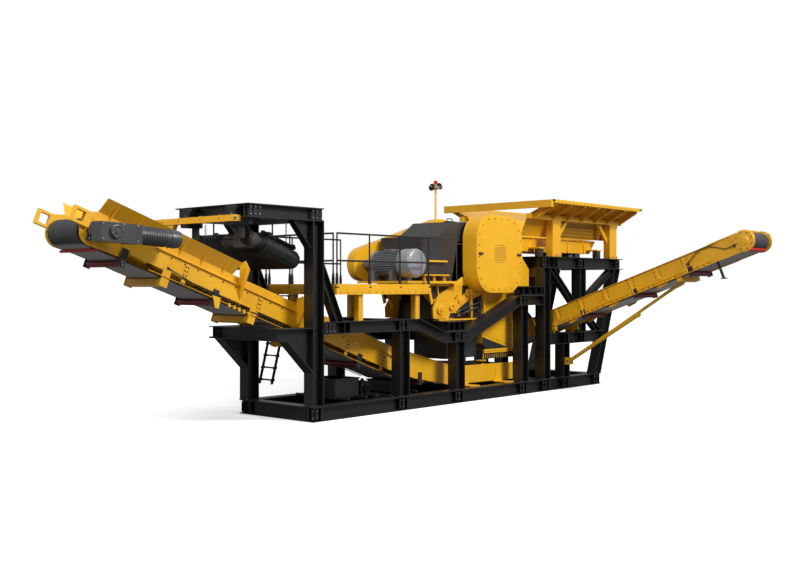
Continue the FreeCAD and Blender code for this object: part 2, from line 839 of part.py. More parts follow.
def sideStrut():
    """Telescopic prop from a bracket on the post to a shoe under each side plate."""
    foot = (post6X + postDepth / 2, -halfWidth - 90, 800.0)
    shoe = sideRun.at(strutShoeY, -sideHeight / 2)
    top = (sideMidX - 60, shoe[0], shoe[1] - 45)
    rod = rodBetween(foot, top, strutRadius)
    bracket = block(foot[0] - 110, foot[0] + 110, -halfWidth - 150, -halfWidth, 700, 900)
    beam = slanted(sideRun, strutShoeY - 70, strutShoeY + 70, -sideHeight / 2 - 110, -sideHeight / 2,
                   -sideOutside, sideOutside)
    return fuse([rod, bracket, turned(beam)])


def sideSaddles():
    """Brackets that carry the fines conveyor on the two middle beams."""
    top = midBeamBottomZ + beamDepth
    pieces = []
    for side in (-1, 1):
        y0 = side * halfWidth
        y1 = side * innerY
        for x0, x1 in ((sideLeftX, sideLeftX + plate), (sideRightX - plate, sideRightX)):
            low, high = sorted((y0, y1))
            rise = [sideRun.axis(y) - sideHeight / 2 / math.cos(sideAngle) for y in (low, high)]
            if min(rise) <= top:
                continue
            pieces.append(plateYZ([(low, top), (high, top), (high, rise[1]), (low, rise[0])],
                                  x0, x1))
    return pieces


# ---- crusher ------------------------------------------------------------------------------
def crusherOutline():
    return [(mountStartX + 150, mountTopLow), (mountEndX - 40, mountTopLow),
            (crusherSeatX, mountTopCrest), (8850, mountTopCrest), (8850, 3450), (8450, 3850),
            (8300, crusherSideTopZ), (6300, crusherSideTopZ), (5900, motorBaseZ),
            (4300, motorBaseZ), (4700, 2500)]


def crusherSide(side):
    return plateXZ(crusherOutline(), side * crusherHalf, side * (crusherHalf + crusherPlate))


def fixedJaw():
    """The cast front frame with the fixed jaw plate on its inner face."""
    outline = [(8300, mountTopCrest + 30), (8500, mountTopCrest + 30), (8500, 3750),
               (8330, 3900), (8050, 3900), (7700, mountTopCrest + 30)]
    return plateXZ(outline, -crusherHalf, crusherHalf)


def swingJaw():
    """The jaw that hangs from the eccentric shaft."""
    outline = [(6500, 4100), (7050, 4150), (7150, 3800), (7250, 2850), (7000, 2800), (6600, 3300)]
    return plateXZ(outline, -crusherHalf, crusherHalf)


def backFrame():
    """Cross castings behind the swing jaw that tie the two sides together."""
    outline = [(4900, mountTopLow + 40), (5350, mountTopLow + 60), (5900, 2500), (5700, 2900),
               (5000, 2700)]
    return plateXZ(outline, -crusherHalf, crusherHalf)


def driveCover():
    """Grey box round the belt drive behind the motor."""
    low = motorBaseZ + 60
    return plateXZ([(4250, low), (5440, low), (5720, coverKneeZ), (4250, coverKneeZ)],
                   -crusherHalf, crusherHalf)


def topCover():
    """Sloping grey cover over the eccentric shaft."""
    outline = [(4900, coverKneeZ), (5700, coverKneeZ), (5700, crusherSideTopZ),
               (6980, crusherSideTopZ), (6980, coverTopZ), (5500, coverTopZ)]
    return plateXZ(outline, -crusherHalf + 20, crusherHalf - 20)


def roundedGuard(x, z, halfX, halfZ, corner, y0, y1):
    """An upright box with rounded corners, seen from the side."""
    parts = [block(x - halfX, x + halfX, y0, y1, z - halfZ + corner, z + halfZ - corner),
             block(x - halfX + corner, x + halfX - corner, y0, y1, z - halfZ, z + halfZ)]
    for i in (-1, 1):
        for k in (-1, 1):
            parts.append(rodY(x + i * (halfX - corner), z + k * (halfZ - corner), corner, y0, y1))
    return fuse(parts)


def flywheelGuard():
    return roundedGuard(shaftX, shaftZ, guardHalfX, guardHalfZ, guardCorner, -guardFaceY,
                        -crusherHalf - crusherPlate)


def beltGuard():
    """Guard over the flywheel belt on the far side, tapering to the motor pulley."""
    y0 = crusherHalf + crusherPlate
    y1 = y0 + beltGuardDepth
    big = rodY(shaftX, shaftZ, guardHalfZ, y0, y1)
    small = rodY(motorX, motorZ, pulleyGuardRadius, y0, y1)
    run = math.hypot(shaftX - motorX, shaftZ - motorZ)
    lean = math.atan2(shaftZ - motorZ, shaftX - motorX)
    spread = math.acos((guardHalfZ - pulleyGuardRadius) / run)
    corners = []
    for sign in (1, -1):
        angle = lean + sign * (math.pi - spread)
        pair = [(shaftX + guardHalfZ * math.cos(angle), shaftZ + guardHalfZ * math.sin(angle)),
                (motorX + pulleyGuardRadius * math.cos(angle),
                 motorZ + pulleyGuardRadius * math.sin(angle))]
        corners += pair if sign == 1 else pair[::-1]
    return fuse([big, small, plateXZ(corners, y0, y1)])


def motor():
    body = rodY(motorX, motorZ, motorRadius, motorNearY, motorFarY)
    nose = rodY(motorX, motorZ, 120, motorFarY, crusherHalf + crusherPlate)
    foot = block(motorX - 330, motorX + 330, motorNearY + 150, motorFarY - 80, motorBaseZ + 60,
                 motorZ - 300)
    return fuse([body, nose, foot])


def motorBase():
    top = block(motorBaseStartX, motorBaseEndX, motorNearY - 60, 640, motorBaseZ, motorBaseZ + 60)
    ribs = []
    for y in (60.0 - crusherHalf, crusherHalf - 140.0):
        outline = [(deckEndX + 40, motorBaseZ), (4700, motorBaseZ), (4900, 2620), (4700, 2560)]
        ribs.append(plateXZ(outline, y, y + 60))
    return fuse([top] + ribs)


def crusherBottomZ(x):
    """Lower edge of the crusher's side plates between its two seats."""
    start = mountEndX - 40
    end = crusherSeatX
    share = min(1.0, (x - start) / (end - start))
    return mountTopLow + share * (mountTopCrest - mountTopLow)


def dischargeChute():
    """Chute from under the jaws to the main belt, open above and below."""
    wall = 16.0
    startLowZ = chuteLowZ + 250
    outer = [(chuteStartX, startLowZ), (chuteEndX - 290, chuteLowZ), (chuteEndX, chuteLowZ),
             (chuteEndX, crusherBottomZ(chuteEndX)), (crusherSeatX, mountTopCrest),
             (chuteStartX, crusherBottomZ(chuteStartX))]
    parts = [plateXZ(outer, side * chuteHalf, side * (chuteHalf - wall)) for side in (-1, 1)]
    parts.append(block(chuteEndX - wall, chuteEndX, -chuteHalf, chuteHalf, chuteLowZ, mountTopCrest))
    parts.append(block(chuteStartX, chuteStartX + wall, -chuteHalf, chuteHalf, startLowZ,
                       crusherBottomZ(chuteStartX)))
    return fuse(parts)


def chuteSkirts():
    """Bar with a rubber comb along each side of the belt below the chute."""
    return [block(chuteStartX + 180, chuteEndX - 10, side * (chuteHalf - 40), side * chuteHalf,
                  chuteLowZ - 180, chuteLowZ) for side in (-1, 1)]


# ---- platform -----------------------------------------------------------------------------
def platformDeck():
    return block(deckStartX, deckEndX, -halfWidth, halfWidth, deckBottomZ, deckTopZ)


def platformLegs():
    pieces = []
    for x in legStations:
        for side in (-1, 1):
            y = side * railY
            pieces.append(block(x, x + legWidth, y - legWidth / 2, y + legWidth / 2,
                                chordHighZ, deckBottomZ))
    return pieces


def railFrame(points, z0, height):
    """Posts at the points of a straight line, with a top and a middle rail."""
    first = points[0]
    last = points[-1]
    parts = []
    for x, y in points:
        parts.append(rodBetween((x, y, z0), (x, y, z0 + height), tube - 3))
    for z in (z0 + height, z0 + height / 2):
        parts.append(rodBetween((first[0], first[1], z), (last[0], last[1], z), tube))
    for x, y in (first, last):
        parts.append(Part.makeSphere(tube, FreeCAD.Vector(x, y, z0 + height)))
    return fuse(parts)


def handrail(side):
    """Rail along one edge; on the far side it stops short of the belt guard."""
    y = side * (halfWidth - railInset)
    end = deckEndX - railInset if side < 0 else motorX - pulleyGuardRadius - 60
    count = 4
    gap = (end - deckStartX - railInset) / (count - 1)
    points = [(deckStartX + railInset + i * gap, y) for i in range(count)]
    return railFrame(points, deckTopZ, railHeight - tube)


def endHandrail():
    x = deckStartX + railInset
    y = halfWidth - railInset - 120
    return railFrame([(x, -y), (x, -y / 3), (x, y / 3), (x, y)], deckTopZ, railHeight - tube)


def ladder():
    """Sloping access ladder outside the far edge of the platform."""
    y0 = halfWidth + 5.0
    lean = ladderLean
    foot = (ladderFootX, ladderFootZ)
    head = (foot[0] + lean * (deckTopZ - ladderFootZ), deckTopZ)
    parts = []
    for y in (y0, y0 + ladderWidth):
        parts.append(plateXZ([(foot[0] - 40, foot[1]), (foot[0] + 40, foot[1]),
                              (head[0] + 40, head[1]), (head[0] - 40, head[1])], y, y + 12))
    count = int((deckTopZ - ladderFootZ) / rungGap)
    for i in range(count):
        z = ladderFootZ + 100 + i * rungGap
        x = foot[0] + lean * (z - ladderFootZ)
        parts.append(rodY(x, z, 16, y0, y0 + ladderWidth + 12))
    parts.append(block(head[0] - 40, head[0] + 40, halfWidth, y0 + 12, deckBottomZ, deckTopZ))
    return fuse(parts)


# ---- hopper and feeder --------------------------------------------------------------------
def hopperSection():
    """Inner face of a long wall, y and z, from the pan up to the rim."""
    beamTop = hopperBeamBottomZ + hopperBeamDepth
    kinkY = halfWidth - 150
    return [(780, 4400), (985, hopperBeamBottomZ), (kinkY, beamTop + 20), (hopperRimY, hopperRimZ)]


def hopperWall(side):
    """Long wall: steep inside the posts, then flared out to the rim, with ribs below."""
    beamTop = hopperBeamBottomZ + hopperBeamDepth
    skin = 16.0
    path = [(side * y, z) for y, z in hopperSection()]
    outline = band(path, 0, side * skin)
    parts = [plateYZ(outline, hopperStartX, hopperEndX)]
    count = 6
    for i in range(count):
        x = hopperStartX + 120 + i * (hopperEndX - hopperStartX - 240) / (count - 1)
        rib = [(side * (halfWidth - 100), beamTop), (side * halfWidth, beamTop),
               (side * (hopperRimY - 20), hopperRimZ - 60), (side * (hopperRimY - 20), hopperRimZ - 10)]
        parts.append(plateYZ(rib, x - 8, x + 8))
    lip = block(hopperStartX, hopperEndX, side * hopperRimY, side * (hopperRimY + 20),
                hopperRimZ - 70, hopperRimZ + 12)
    return fuse(parts + [lip])


def hopperBack():
    """End wall at the loading end, flared outwards."""
    skin = 16.0
    path = [(12760, 4420), (12960, 5000), (hopperEndX - 20, hopperRimZ)]
    outline = offsetLine(path, 0) + offsetLine(path, skin)[::-1]
    wall = plateXZ(outline, -hopperRimY, hopperRimY)
    inside = [(y - 0.3, z) for y, z in hopperSection()]
    inside = [(-y, z) for y, z in inside[::-1]] + inside
    return wall.common(plateYZ(inside, hopperStartX, hopperEndX))


def hopperTie():
    """Bar across the open end of the hopper at the rim."""
    return block(hopperStartX - 120, hopperStartX, -hopperRimY, hopperRimY,
                 hopperRimZ - 200, hopperRimZ)


def hopperPosts(side):
    """Two posts under a hopper beam, each with a slanted brace."""
    y = side * railY
    reach = 560.0
    broad = 160.0
    top = hopperBeamBottomZ
    parts = []
    for x, lean in ((hopperPostLeftX, 1), (hopperPostRightX, -1)):
        parts.append(block(x, x + hopperPostWidth, side * 1020, side * 1240, feederBeamTopZ, top))
        face = x + hopperPostWidth if lean > 0 else x
        parts.append(plateXZ([(face, top - reach), (face + lean * reach, top),
                              (face + lean * (reach - broad), top), (face, top - reach + broad)],
                             y - 40, y + 40))
    return Part.makeCompound([parts[0].fuse(parts[1]).removeSplitter(),
                              parts[2].fuse(parts[3]).removeSplitter()])


def hopperBeams():
    pieces = []
    for side in (-1, 1):
        pieces.append(block(hopperStartX - 190, hopperEndX - 60, side * halfWidth,
                            side * (halfWidth - 130), hopperBeamBottomZ,
                            hopperBeamBottomZ + hopperBeamDepth))
    return pieces


def feederPan():
    """The vibrating pan: a floor between two side plates, closed by a sloping end plate."""
    end = panEndX
    wall = 20.0
    rim = panFloorZ + panWallHeight
    floor = block(panStartX, end, -panHalf, panHalf, panFloorZ, panFloorZ + wall)
    parts = [floor]
    for side in (-1, 1):
        outline = [(panStartX, panFloorZ), (end - 350, panFloorZ), (end, rim), (panStartX, rim)]
        parts.append(plateXZ(outline, side * panHalf, side * (panHalf - wall)))
    parts.append(plateXZ([(end - 350, panFloorZ), (end, rim), (end - 30, rim), (end - 380, panFloorZ)],
                         -panHalf, panHalf))
    cut = plateXZ([(end - 350, panFloorZ - 1), (end + 200, panFloorZ - 1), (end + 200, panFloorZ + 500),
                   (end + 87, panFloorZ + 500)], -panHalf - 10, panHalf + 10)
    return fuse(parts).cut(cut)


def feederSprings():
    pieces = []
    for x in springStations:
        for side in (-1, 1):
            y = side * (innerY - 5)
            pieces.append(Part.makeCylinder(springRadius, panFloorZ + 80 - feederBeamTopZ,
                                            FreeCAD.Vector(x, y, feederBeamTopZ)))
    return pieces


def feederLugs():
    """Shelves on the pan's sides that sit on the springs."""
    pieces = []
    for x in springStations:
        for side in (-1, 1):
            pieces.append(block(x - 140, x + 140, side * panHalf, side * (innerY + 100),
                                panFloorZ + 80, panFloorZ + 120))
    return pieces


def rectangle(x0, x1, half, z):
    return [(x0, -half, z), (x1, -half, z), (x1, half, z), (x0, half, z)]


def finesChute():
    """Funnel under the grizzly bars, hung between the feeder's cross-beams."""
    top = funnelTopZ
    low = funnelLowZ
    outer = prism(rectangle(9300, 10750, 640, top), rectangle(9650, 10300, 330, low))
    inner = prism(rectangle(9300 + funnelSkin, 10750 - funnelSkin, 640 - funnelSkin, top + 1),
                  rectangle(9650 + funnelSkin, 10300 - funnelSkin, 330 - funnelSkin, low - 1))
    shell = outer.cut(inner)
    hang = []
    for side in (-1, 1):
        hang.append(block(9300, 10750, side * 640, side * innerY, top - 40, top))
    return fuse([shell] + hang)


def finesSleeve():
    """Rubber sleeve below the funnel."""
    length = funnelLowZ - sleeveLowZ
    foot = FreeCAD.Vector(sleeveX, 0, sleeveLowZ)
    outer = Part.makeCylinder(sleeveRadius, length, foot)
    return outer.cut(Part.makeCylinder(sleeveRadius - funnelSkin, length, foot))


# ---- magnet -------------------------------------------------------------------------------
def magnetOutlines(extra, x0, x1):
    """A race-track section in y and z, run along the magnet's width."""
    half = magnetDepth / 2 + extra
    straight = magnetHalfY - magnetDepth / 2
    core = block(x0, x1, -straight, straight, -half, half)
    return fuse([core, rodX(-straight, 0, half, x0, x1), rodX(straight, 0, half, x0, x1)])


def placedMagnet(shape):
    shape = shape.copy()
    shape.rotate(FreeCAD.Vector(0, 0, 0), FreeCAD.Vector(0, 1, 0), math.degrees(mainAngle))
    shape.translate(FreeCAD.Vector(magnetX, magnetMidY, magnetZ))
    return shape


def magnetBelt():
    half = magnetLength / 2 - 60
    outer = magnetOutlines(0, -half, half)
    inner = magnetOutlines(-16, -half - 10, half + 10)
    return placedMagnet(outer.cut(inner))


def magnetBody():
    """The magnet's box inside its belt, its end plates and the rods that hang it."""
    half = magnetLength / 2
    core = magnetOutlines(-16.5, -half + 40, half - 40)
    ends = [magnetOutlines(-30, -half, -half + 40), magnetOutlines(-30, half - 40, half)]
    body = placedMagnet(fuse([core] + ends))
    rods = []
    for end in (-1, 1):
        x, z = hangerFoot(end)
        for y in (magnetMidY - hangerY, magnetMidY + hangerY):
            rods.append(rodBetween((x, y, z - 60), (x, y, gantryBottomZ), 18))
    return fuse([body] + rods)


def hangerFoot(end):
    """Where a hanger rod enters an end plate: end is -1 for the upper end, 1 for the lower."""
    along = end * (magnetLength / 2 - 20)
    up = magnetDepth / 2 - 30
    x = magnetX + along * math.cos(mainAngle) + up * math.sin(mainAngle)
    z = magnetZ - along * math.sin(mainAngle) + up * math.cos(mainAngle)
    return x, z


def hangerBeam():
    x = hangerFoot(-1)[0] - 60
    return crossBeam(x, 120, gantryBottomZ + 150, 150)


def magnetMotor():
    half = magnetLength / 2
    y = -magnetHalfY + magnetDepth / 2
    return placedMagnet(rodX(y, 0, 150, -half - 380, -half))


def yellowBeam():
    low = gantryBottomZ - 80
    return block(-gantryReach - 200, -gantryReach, -innerY - 50, innerY + 830, low, low + 130)


# ---- mast ---------------------------------------------------------------------------------
def mast():
    return Part.makeCylinder(24, 1000, FreeCAD.Vector(mastX, 0, mastFootZ))


def beacon():
    base = beaconFootZ
    lamp = Part.makeCylinder(45, 110, FreeCAD.Vector(mastX, 0, base + 20))
    foot = Part.makeCylinder(50, 20, FreeCAD.Vector(mastX, 0, base))
    return fuse([foot, lamp])


# ---- write one file for each piece --------------------------------------------------------
os.makedirs("parts", exist_ok=True)

save("base_beams", bothSides(baseBeam))
save("gantry_beams", bothSides(gantryBeam))
save("leaning_legs", bothSides(leaningLeg))
save("mid_beams", bothSides(midBeam))
save("feeder_beams", bothSides(feederBeam))
save("cross_beams", baseCrossBeams() + upperCrossBeams() + feederCrossBeams()
     + gantryCrossBeams() + [shelfBeam()])
save("braces", gantryBraces() + kBraces() + shelfArms())
save("crusher_mounts", crusherMounts())
for name, side in (("near", -1), ("far", 1)):
    save("posts_" + name, lowerPosts(side))
    save("upper_chord_" + name, upperChord(side))
    save("hopper_wall_" + name, hopperWall(side))

save("main_side_plates", bothSides(mainSidePlate))
save("main_flares", bothSides(mainFlare) + mainFins(-1) + mainFins(1))
save("belt_cross_members", mainCrossMembers() + mainUnderMembers() + sideCrossMembers())
save("roller_brackets", mainRollerBrackets() + sideRollerBrackets())
save("main_head_brackets", mainHeadBrackets())
save("main_gearmotor", mainGearmotor())
save("conveyor_supports", mainTailSupports() + sideSaddles())
save("main_belt", mainRun.belt(mainBeltWidth))
save("main_head_drum", mainHeadDrum())
save("tail_drums", [mainTailDrum(), sideTailDrum()])
for i, along in enumerate(mainRollerX):
    save("main_roller_" + str(i + 1), mainRoller(along))

save("side_plates", bothSides(sidePlate))
save("side_belt", turned(sideRun.belt(sideBeltWidth)))
save("side_head_drum", sideHeadDrum())
save("side_hood", sideHood())
save("side_strut", sideStrut())
for i, along in enumerate(sideRollerY):
    save("side_roller_" + str(i + 1), sideRoller(along))

save("crusher_sides", bothSides(crusherSide))
save("jaws", [fixedJaw(), swingJaw(), backFrame()])
save("drive_covers", fuse([driveCover(), topCover()]))
save("flywheel_guard", flywheelGuard())
save("belt_guard", beltGuard())
save("motor", motor())
save("motor_base", motorBase())
save("discharge_chute", dischargeChute())
save("rubber_skirts", chuteSkirts() + [finesSleeve()])

save("platform_deck", platformDeck())
save("platform_legs", platformLegs())
save("handrails", bothSides(handrail) + [endHandrail()])
save("ladder", ladder())

save("hopper_back", hopperBack())
save("hopper_posts", bothSides(hopperPosts))
save("hopper_beams", hopperBeams() + [hopperTie()])
save("feeder_pan", fuse([feederPan()] + feederLugs()))
save("feeder_springs", feederSprings())
save("fines_chute", finesChute())

save("magnet_belt", magnetBelt())
save("magnet_body", magnetBody())
save("magnet_motor", magnetMotor())
save("yellow_beam", yellowBeam())
save("mast", fuse([mast(), beacon()]))
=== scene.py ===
import json
import math

import bmesh
import bpy
from mathutils import Matrix, Vector


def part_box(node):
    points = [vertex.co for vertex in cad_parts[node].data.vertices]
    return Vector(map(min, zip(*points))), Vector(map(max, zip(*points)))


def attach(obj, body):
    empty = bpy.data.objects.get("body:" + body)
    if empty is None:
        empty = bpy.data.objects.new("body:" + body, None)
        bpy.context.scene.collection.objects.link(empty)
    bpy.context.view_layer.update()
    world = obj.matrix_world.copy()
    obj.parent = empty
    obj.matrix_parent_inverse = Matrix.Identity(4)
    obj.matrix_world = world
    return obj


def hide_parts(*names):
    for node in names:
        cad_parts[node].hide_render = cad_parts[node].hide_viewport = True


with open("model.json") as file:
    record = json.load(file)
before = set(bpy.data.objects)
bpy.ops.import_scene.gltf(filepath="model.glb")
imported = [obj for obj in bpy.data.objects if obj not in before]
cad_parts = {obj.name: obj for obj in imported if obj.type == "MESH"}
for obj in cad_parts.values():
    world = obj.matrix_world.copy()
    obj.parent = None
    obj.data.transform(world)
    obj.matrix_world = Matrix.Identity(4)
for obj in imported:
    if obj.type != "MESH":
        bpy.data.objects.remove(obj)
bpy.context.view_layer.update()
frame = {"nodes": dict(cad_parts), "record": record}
print("frame loaded:", len(frame["nodes"]), "CAD nodes")


def colour(hexText):
    # sRGB hex to the linear colour that the shaders want
    parts = [int(hexText[i : i + 2], 16) / 255 for i in (1, 3, 5)]
    return [p / 12.92 if p <= 0.04045 else ((p + 0.055) / 1.055) ** 2.4 for p in parts] + [1.0]


def setNode(tree, node, settings=None, links=None):
    # settings are properties or input values by name; a link may name a node, for its first output
    for key, value in (settings or {}).items():
        if isinstance(key, int) or key in node.inputs:
            node.inputs[key].default_value = value
        else:
            setattr(node, key, value)
    for key, source in (links or {}).items():
        tree.links.new(source.outputs[0] if hasattr(source, "outputs") else source, node.inputs[key])
    return node


def addNode(tree, kind, settings=None, links=None):
    return setNode(tree, tree.nodes.new("ShaderNode" + kind), settings, links)


def perMetre(millimetres):
    # pattern scale for a feature that size, on coordinates in metres
    return 1000.0 / millimetres


def newMaterial(name):
    made = bpy.data.materials.new(name)
    made.use_nodes = True
    tree = made.node_tree
    tree.nodes.clear()
    out = addNode(tree, "OutputMaterial")
    shader = addNode(tree, "BsdfPrincipled")
    setNode(tree, out, {}, {"Surface": shader})
    return made, tree, shader, addNode(tree, "NewGeometry")


def mixColours(tree, fac, first, second):
    mixer = addNode(tree, "Mix", {"data_type": "RGBA"})
    for socket, source in ((0, fac), (6, first), (7, second)):
        fixed = isinstance(source, list)
        setNode(tree, mixer, {socket: source} if fixed else {}, {} if fixed else {socket: source})
    return mixer.outputs[2]


# Sprayed enamel on steel plate: broad cloudy shade changes, a faint orange peel that breaks up
# the highlights, road dust lying on faces that look up, and a painted highlight along the edges.
def sprayedEnamel(name, look):
    made, tree, shader, place = newMaterial(name)
    clouds = addNode(tree, "TexNoise", {"Scale": perMetre(look["cloud"]), "Detail": 4.0, "Roughness": 0.6},
                     {"Vector": place})
    shade = addNode(tree, "MapRange", {"From Min": 0.3, "From Max": 0.7}, {"Value": clouds})
    body = mixColours(tree, shade, colour(look["dark"]), colour(look["light"]))

    # dust settles where the face looks up
    upward = addNode(tree, "SeparateXYZ", {}, {"Vector": place.outputs["Normal"]})
    patches = addNode(tree, "TexNoise", {"Scale": perMetre(look["dustPatch"]), "Detail": 6.0},
                      {"Vector": place})
    lying = addNode(tree, "MapRange", {"From Min": 0.55, "From Max": 1.0, "To Max": look["dust"]},
                    {"Value": upward.outputs["Z"]})
    speckled = addNode(tree, "Math", {"operation": "MULTIPLY"},
                       {0: lying, 1: patches})
    dusted = mixColours(tree, speckled, body, colour(look["dustColour"]))

    # painted highlight along the edges: the corner mask compares the true normal with a rounded one
    rounded = addNode(tree, "Bevel", {"samples": 4, "Radius": look["edge"] / 1000})
    match = addNode(tree, "VectorMath", {"operation": "DOT_PRODUCT"},
                    {0: rounded, 1: place.outputs["Normal"]})
    corner = addNode(tree, "MapRange", {"From Min": 0.97, "From Max": 0.82, "To Max": look["edgeHighlight"]},
                     {"Value": match.outputs["Value"]})
    highlightedEdges = mixColours(tree, corner, dusted, colour(look["highlightColour"]))

    gloss = addNode(tree, "MapRange", {"To Min": look["rough"] - 0.06, "To Max": look["rough"] + 0.10},
                    {"Value": patches})
    peel = addNode(tree, "TexNoise", {"Scale": perMetre(look["peel"]), "Detail": 2.0},
                   {"Vector": place})
    bump = addNode(tree, "Bump", {"Strength": look["peelDepth"], "Distance": 0.002},
                   {"Height": peel})
    setNode(tree, shader, {"IOR": 1.5, "Coat Weight": look["coat"], "Coat Roughness": 0.18},
            {"Base Color": highlightedEdges, "Roughness": gloss, "Normal": bump})
    return made


# Vulcanised rubber: matt, with the cloth impression of the press, a painted reflection of the pale
# floor on the faces that look down, and streaks that run with the belt.
def vulcanisedRubber(name, look):
    made, tree, shader, place = newMaterial(name)
    stretched = addNode(tree, "Mapping", {"Scale": look["streak"]}, {"Vector": place})
    streaks = addNode(tree, "TexNoise", {"Scale": 6.0, "Detail": 5.0}, {"Vector": stretched})
    spread = addNode(tree, "MapRange", {"From Min": 0.35, "From Max": 0.7}, {"Value": streaks})
    body = mixColours(tree, spread, colour(look["dark"]), colour(look["light"]))
    # painted reflection: the faces that look down are painted pale grey, as if lit by the white floor
    facing = addNode(tree, "SeparateXYZ", {}, {"Vector": place.outputs["Normal"]})
    floorReflection = addNode(tree, "MapRange", {"From Min": -0.75, "From Max": -0.95, "To Max": look["floorReflection"]},
                    {"Value": facing.outputs["Z"]})
    reflectionPainted = mixColours(tree, floorReflection, body, colour("#B4B3B1"))
    gloss = addNode(tree, "MapRange", {"To Min": look["rough"] - 0.08, "To Max": look["rough"] + 0.08},
                    {"Value": streaks})
    # 3 mm cloth impression, drawn at 12 mm so that it still shows at this distance
    cloth = addNode(tree, "TexVoronoi", {"Scale": perMetre(12.0)}, {"Vector": place})
    bump = addNode(tree, "Bump", {"Strength": 0.25, "Distance": 0.002}, {"Height": cloth})
    setNode(tree, shader, {"IOR": 1.52, "Specular IOR Level": 0.35},
            {"Base Color": reflectionPainted, "Roughness": gloss, "Normal": bump})
    return made


# Bare or plated metal: fine directional grain in the gloss and slightly duller hollows.
def groundMetal(name, look):
    made, tree, shader, place = newMaterial(name)
    grain = addNode(tree, "TexNoise", {"Scale": perMetre(look["grain"]), "Detail": 5.0, "Roughness": 0.7},
                    {"Vector": place})
    body = mixColours(tree, grain, colour(look["dark"]), colour(look["light"]))
    gloss = addNode(tree, "MapRange", {"To Min": look["rough"] - 0.1, "To Max": look["rough"] + 0.12},
                    {"Value": grain})
    bump = addNode(tree, "Bump", {"Strength": look["pit"], "Distance": 0.003}, {"Height": grain})
    setNode(tree, shader, {"Metallic": 1.0},
            {"Base Color": body, "Roughness": gloss, "Normal": bump})
    return made


# Extruded polyethylene tube or moulded plastic: even colour, soft gloss, faint draw lines.
def drawnPlastic(name, look):
    made, tree, shader, place = newMaterial(name)
    stretched = addNode(tree, "Mapping", {"Scale": look["streak"]}, {"Vector": place})
    lines = addNode(tree, "TexNoise", {"Scale": 9.0, "Detail": 3.0}, {"Vector": stretched})
    body = mixColours(tree, lines, colour(look["dark"]), colour(look["light"]))
    gloss = addNode(tree, "MapRange", {"To Min": look["rough"] - 0.05, "To Max": look["rough"] + 0.1},
                    {"Value": lines})
    setNode(tree, shader, {"IOR": 1.5},
            {"Base Color": body, "Roughness": gloss})
    return made


enamel = {"cloud": 900.0, "dustPatch": 350.0, "dust": 0.22, "edge": 9.0, "peel": 6.0, "peelDepth": 0.10,
          "rough": 0.36, "coat": 0.15, "edgeHighlight": 0.5, "dustColour": "#B9A88A"}
yellowEnamel = sprayedEnamel("yellow sprayed enamel", {
    **enamel, "dark": "#E6A711", "light": "#F1B61E", "highlightColour": "#FFD468"})
blackEnamel = sprayedEnamel("black sprayed enamel on rolled sections", {
    **enamel, "dark": "#121213", "light": "#1B1B1C", "highlightColour": "#424244", "rough": 0.4,
    "dustColour": "#5C5852"})
tubeEnamel = sprayedEnamel("black powder coat on tube", {
    **enamel, "dark": "#141415", "light": "#1D1D1F", "highlightColour": "#3A3A3C", "rough": 0.3, "edge": 4.0,
    "dustColour": "#55514B"})
darkBracket = sprayedEnamel("dark dipped brackets", {
    **enamel, "dark": "#1E1B1A", "light": "#2C2827", "highlightColour": "#55504C", "rough": 0.45,
    "dustColour": "#6A6256"})
coverEnamel = sprayedEnamel("charcoal sheet covers", {
    **enamel, "dark": "#27282A", "light": "#333436", "highlightColour": "#5A5B5E", "rough": 0.42,
    "dustColour": "#77736B"})
gearEnamel = sprayedEnamel("charcoal enamel on cast gear housing", {
    **enamel, "dark": "#37383B", "light": "#454649", "highlightColour": "#6C6D70", "rough": 0.38, "peel": 14.0,
    "peelDepth": 0.25, "dustColour": "#8A857B"})
castMotorEnamel = sprayedEnamel("mid grey enamel on cast motor ribs", {
    **enamel, "dark": "#5A5C5F", "light": "#6C6E71", "highlightColour": "#A2A4A6", "peel": 12.0, "peelDepth": 0.2})
silverEnamel = sprayedEnamel("silver grey enamel on cast motor", {
    **enamel, "dark": "#85878A", "light": "#9A9C9F", "highlightColour": "#C4C6C8", "rough": 0.34, "peel": 12.0,
    "peelDepth": 0.2, "coat": 0.3, "dustColour": "#B5AFA3"})
beltRubber = vulcanisedRubber("conveyor belt rubber", {
    "dark": "#333335", "light": "#454547", "floorReflection": 0.75, "rough": 0.72, "streak": (0.3, 4.0, 0.3)})
sideBeltRubber = vulcanisedRubber("cross conveyor belt rubber", {
    "dark": "#333335", "light": "#454547", "floorReflection": 0.75, "rough": 0.72, "streak": (4.0, 0.3, 0.3)})
drumRubber = vulcanisedRubber("rubber lagging on drums", {
    "dark": "#1C1C1E", "light": "#2B2B2D", "floorReflection": 0.0, "rough": 0.66, "streak": (1.0, 1.0, 1.0)})
magnetRubber = vulcanisedRubber("cleated magnet belt", {
    "dark": "#171718", "light": "#252526", "floorReflection": 0.0, "rough": 0.6, "streak": (3.0, 0.4, 1.0)})
rollerPlastic = drawnPlastic("red polyethylene roller shell", {
    "dark": "#6A121C", "light": "#8B1F2C", "rough": 0.36, "streak": (1.0, 1.0, 1.0)})
scraperPlastic = drawnPlastic("red polyurethane scraper", {
    "dark": "#9A0F12", "light": "#C41A1C", "rough": 0.4, "streak": (1.0, 1.0, 1.0)})
jawSteel = groundMetal("cast manganese steel", {
    "dark": "#3A3836", "light": "#6B6864", "grain": 40.0, "rough": 0.48, "pit": 0.4})
zincSteel = groundMetal("zinc plated bolts", {
    "dark": "#7C7D7E", "light": "#A9AAAB", "grain": 8.0, "rough": 0.34, "pit": 0.1})
blackSteel = groundMetal("black oxide bolts and chain", {
    "dark": "#1D1D1E", "light": "#38383A", "grain": 8.0, "rough": 0.42, "pit": 0.15})
print("finishes made")


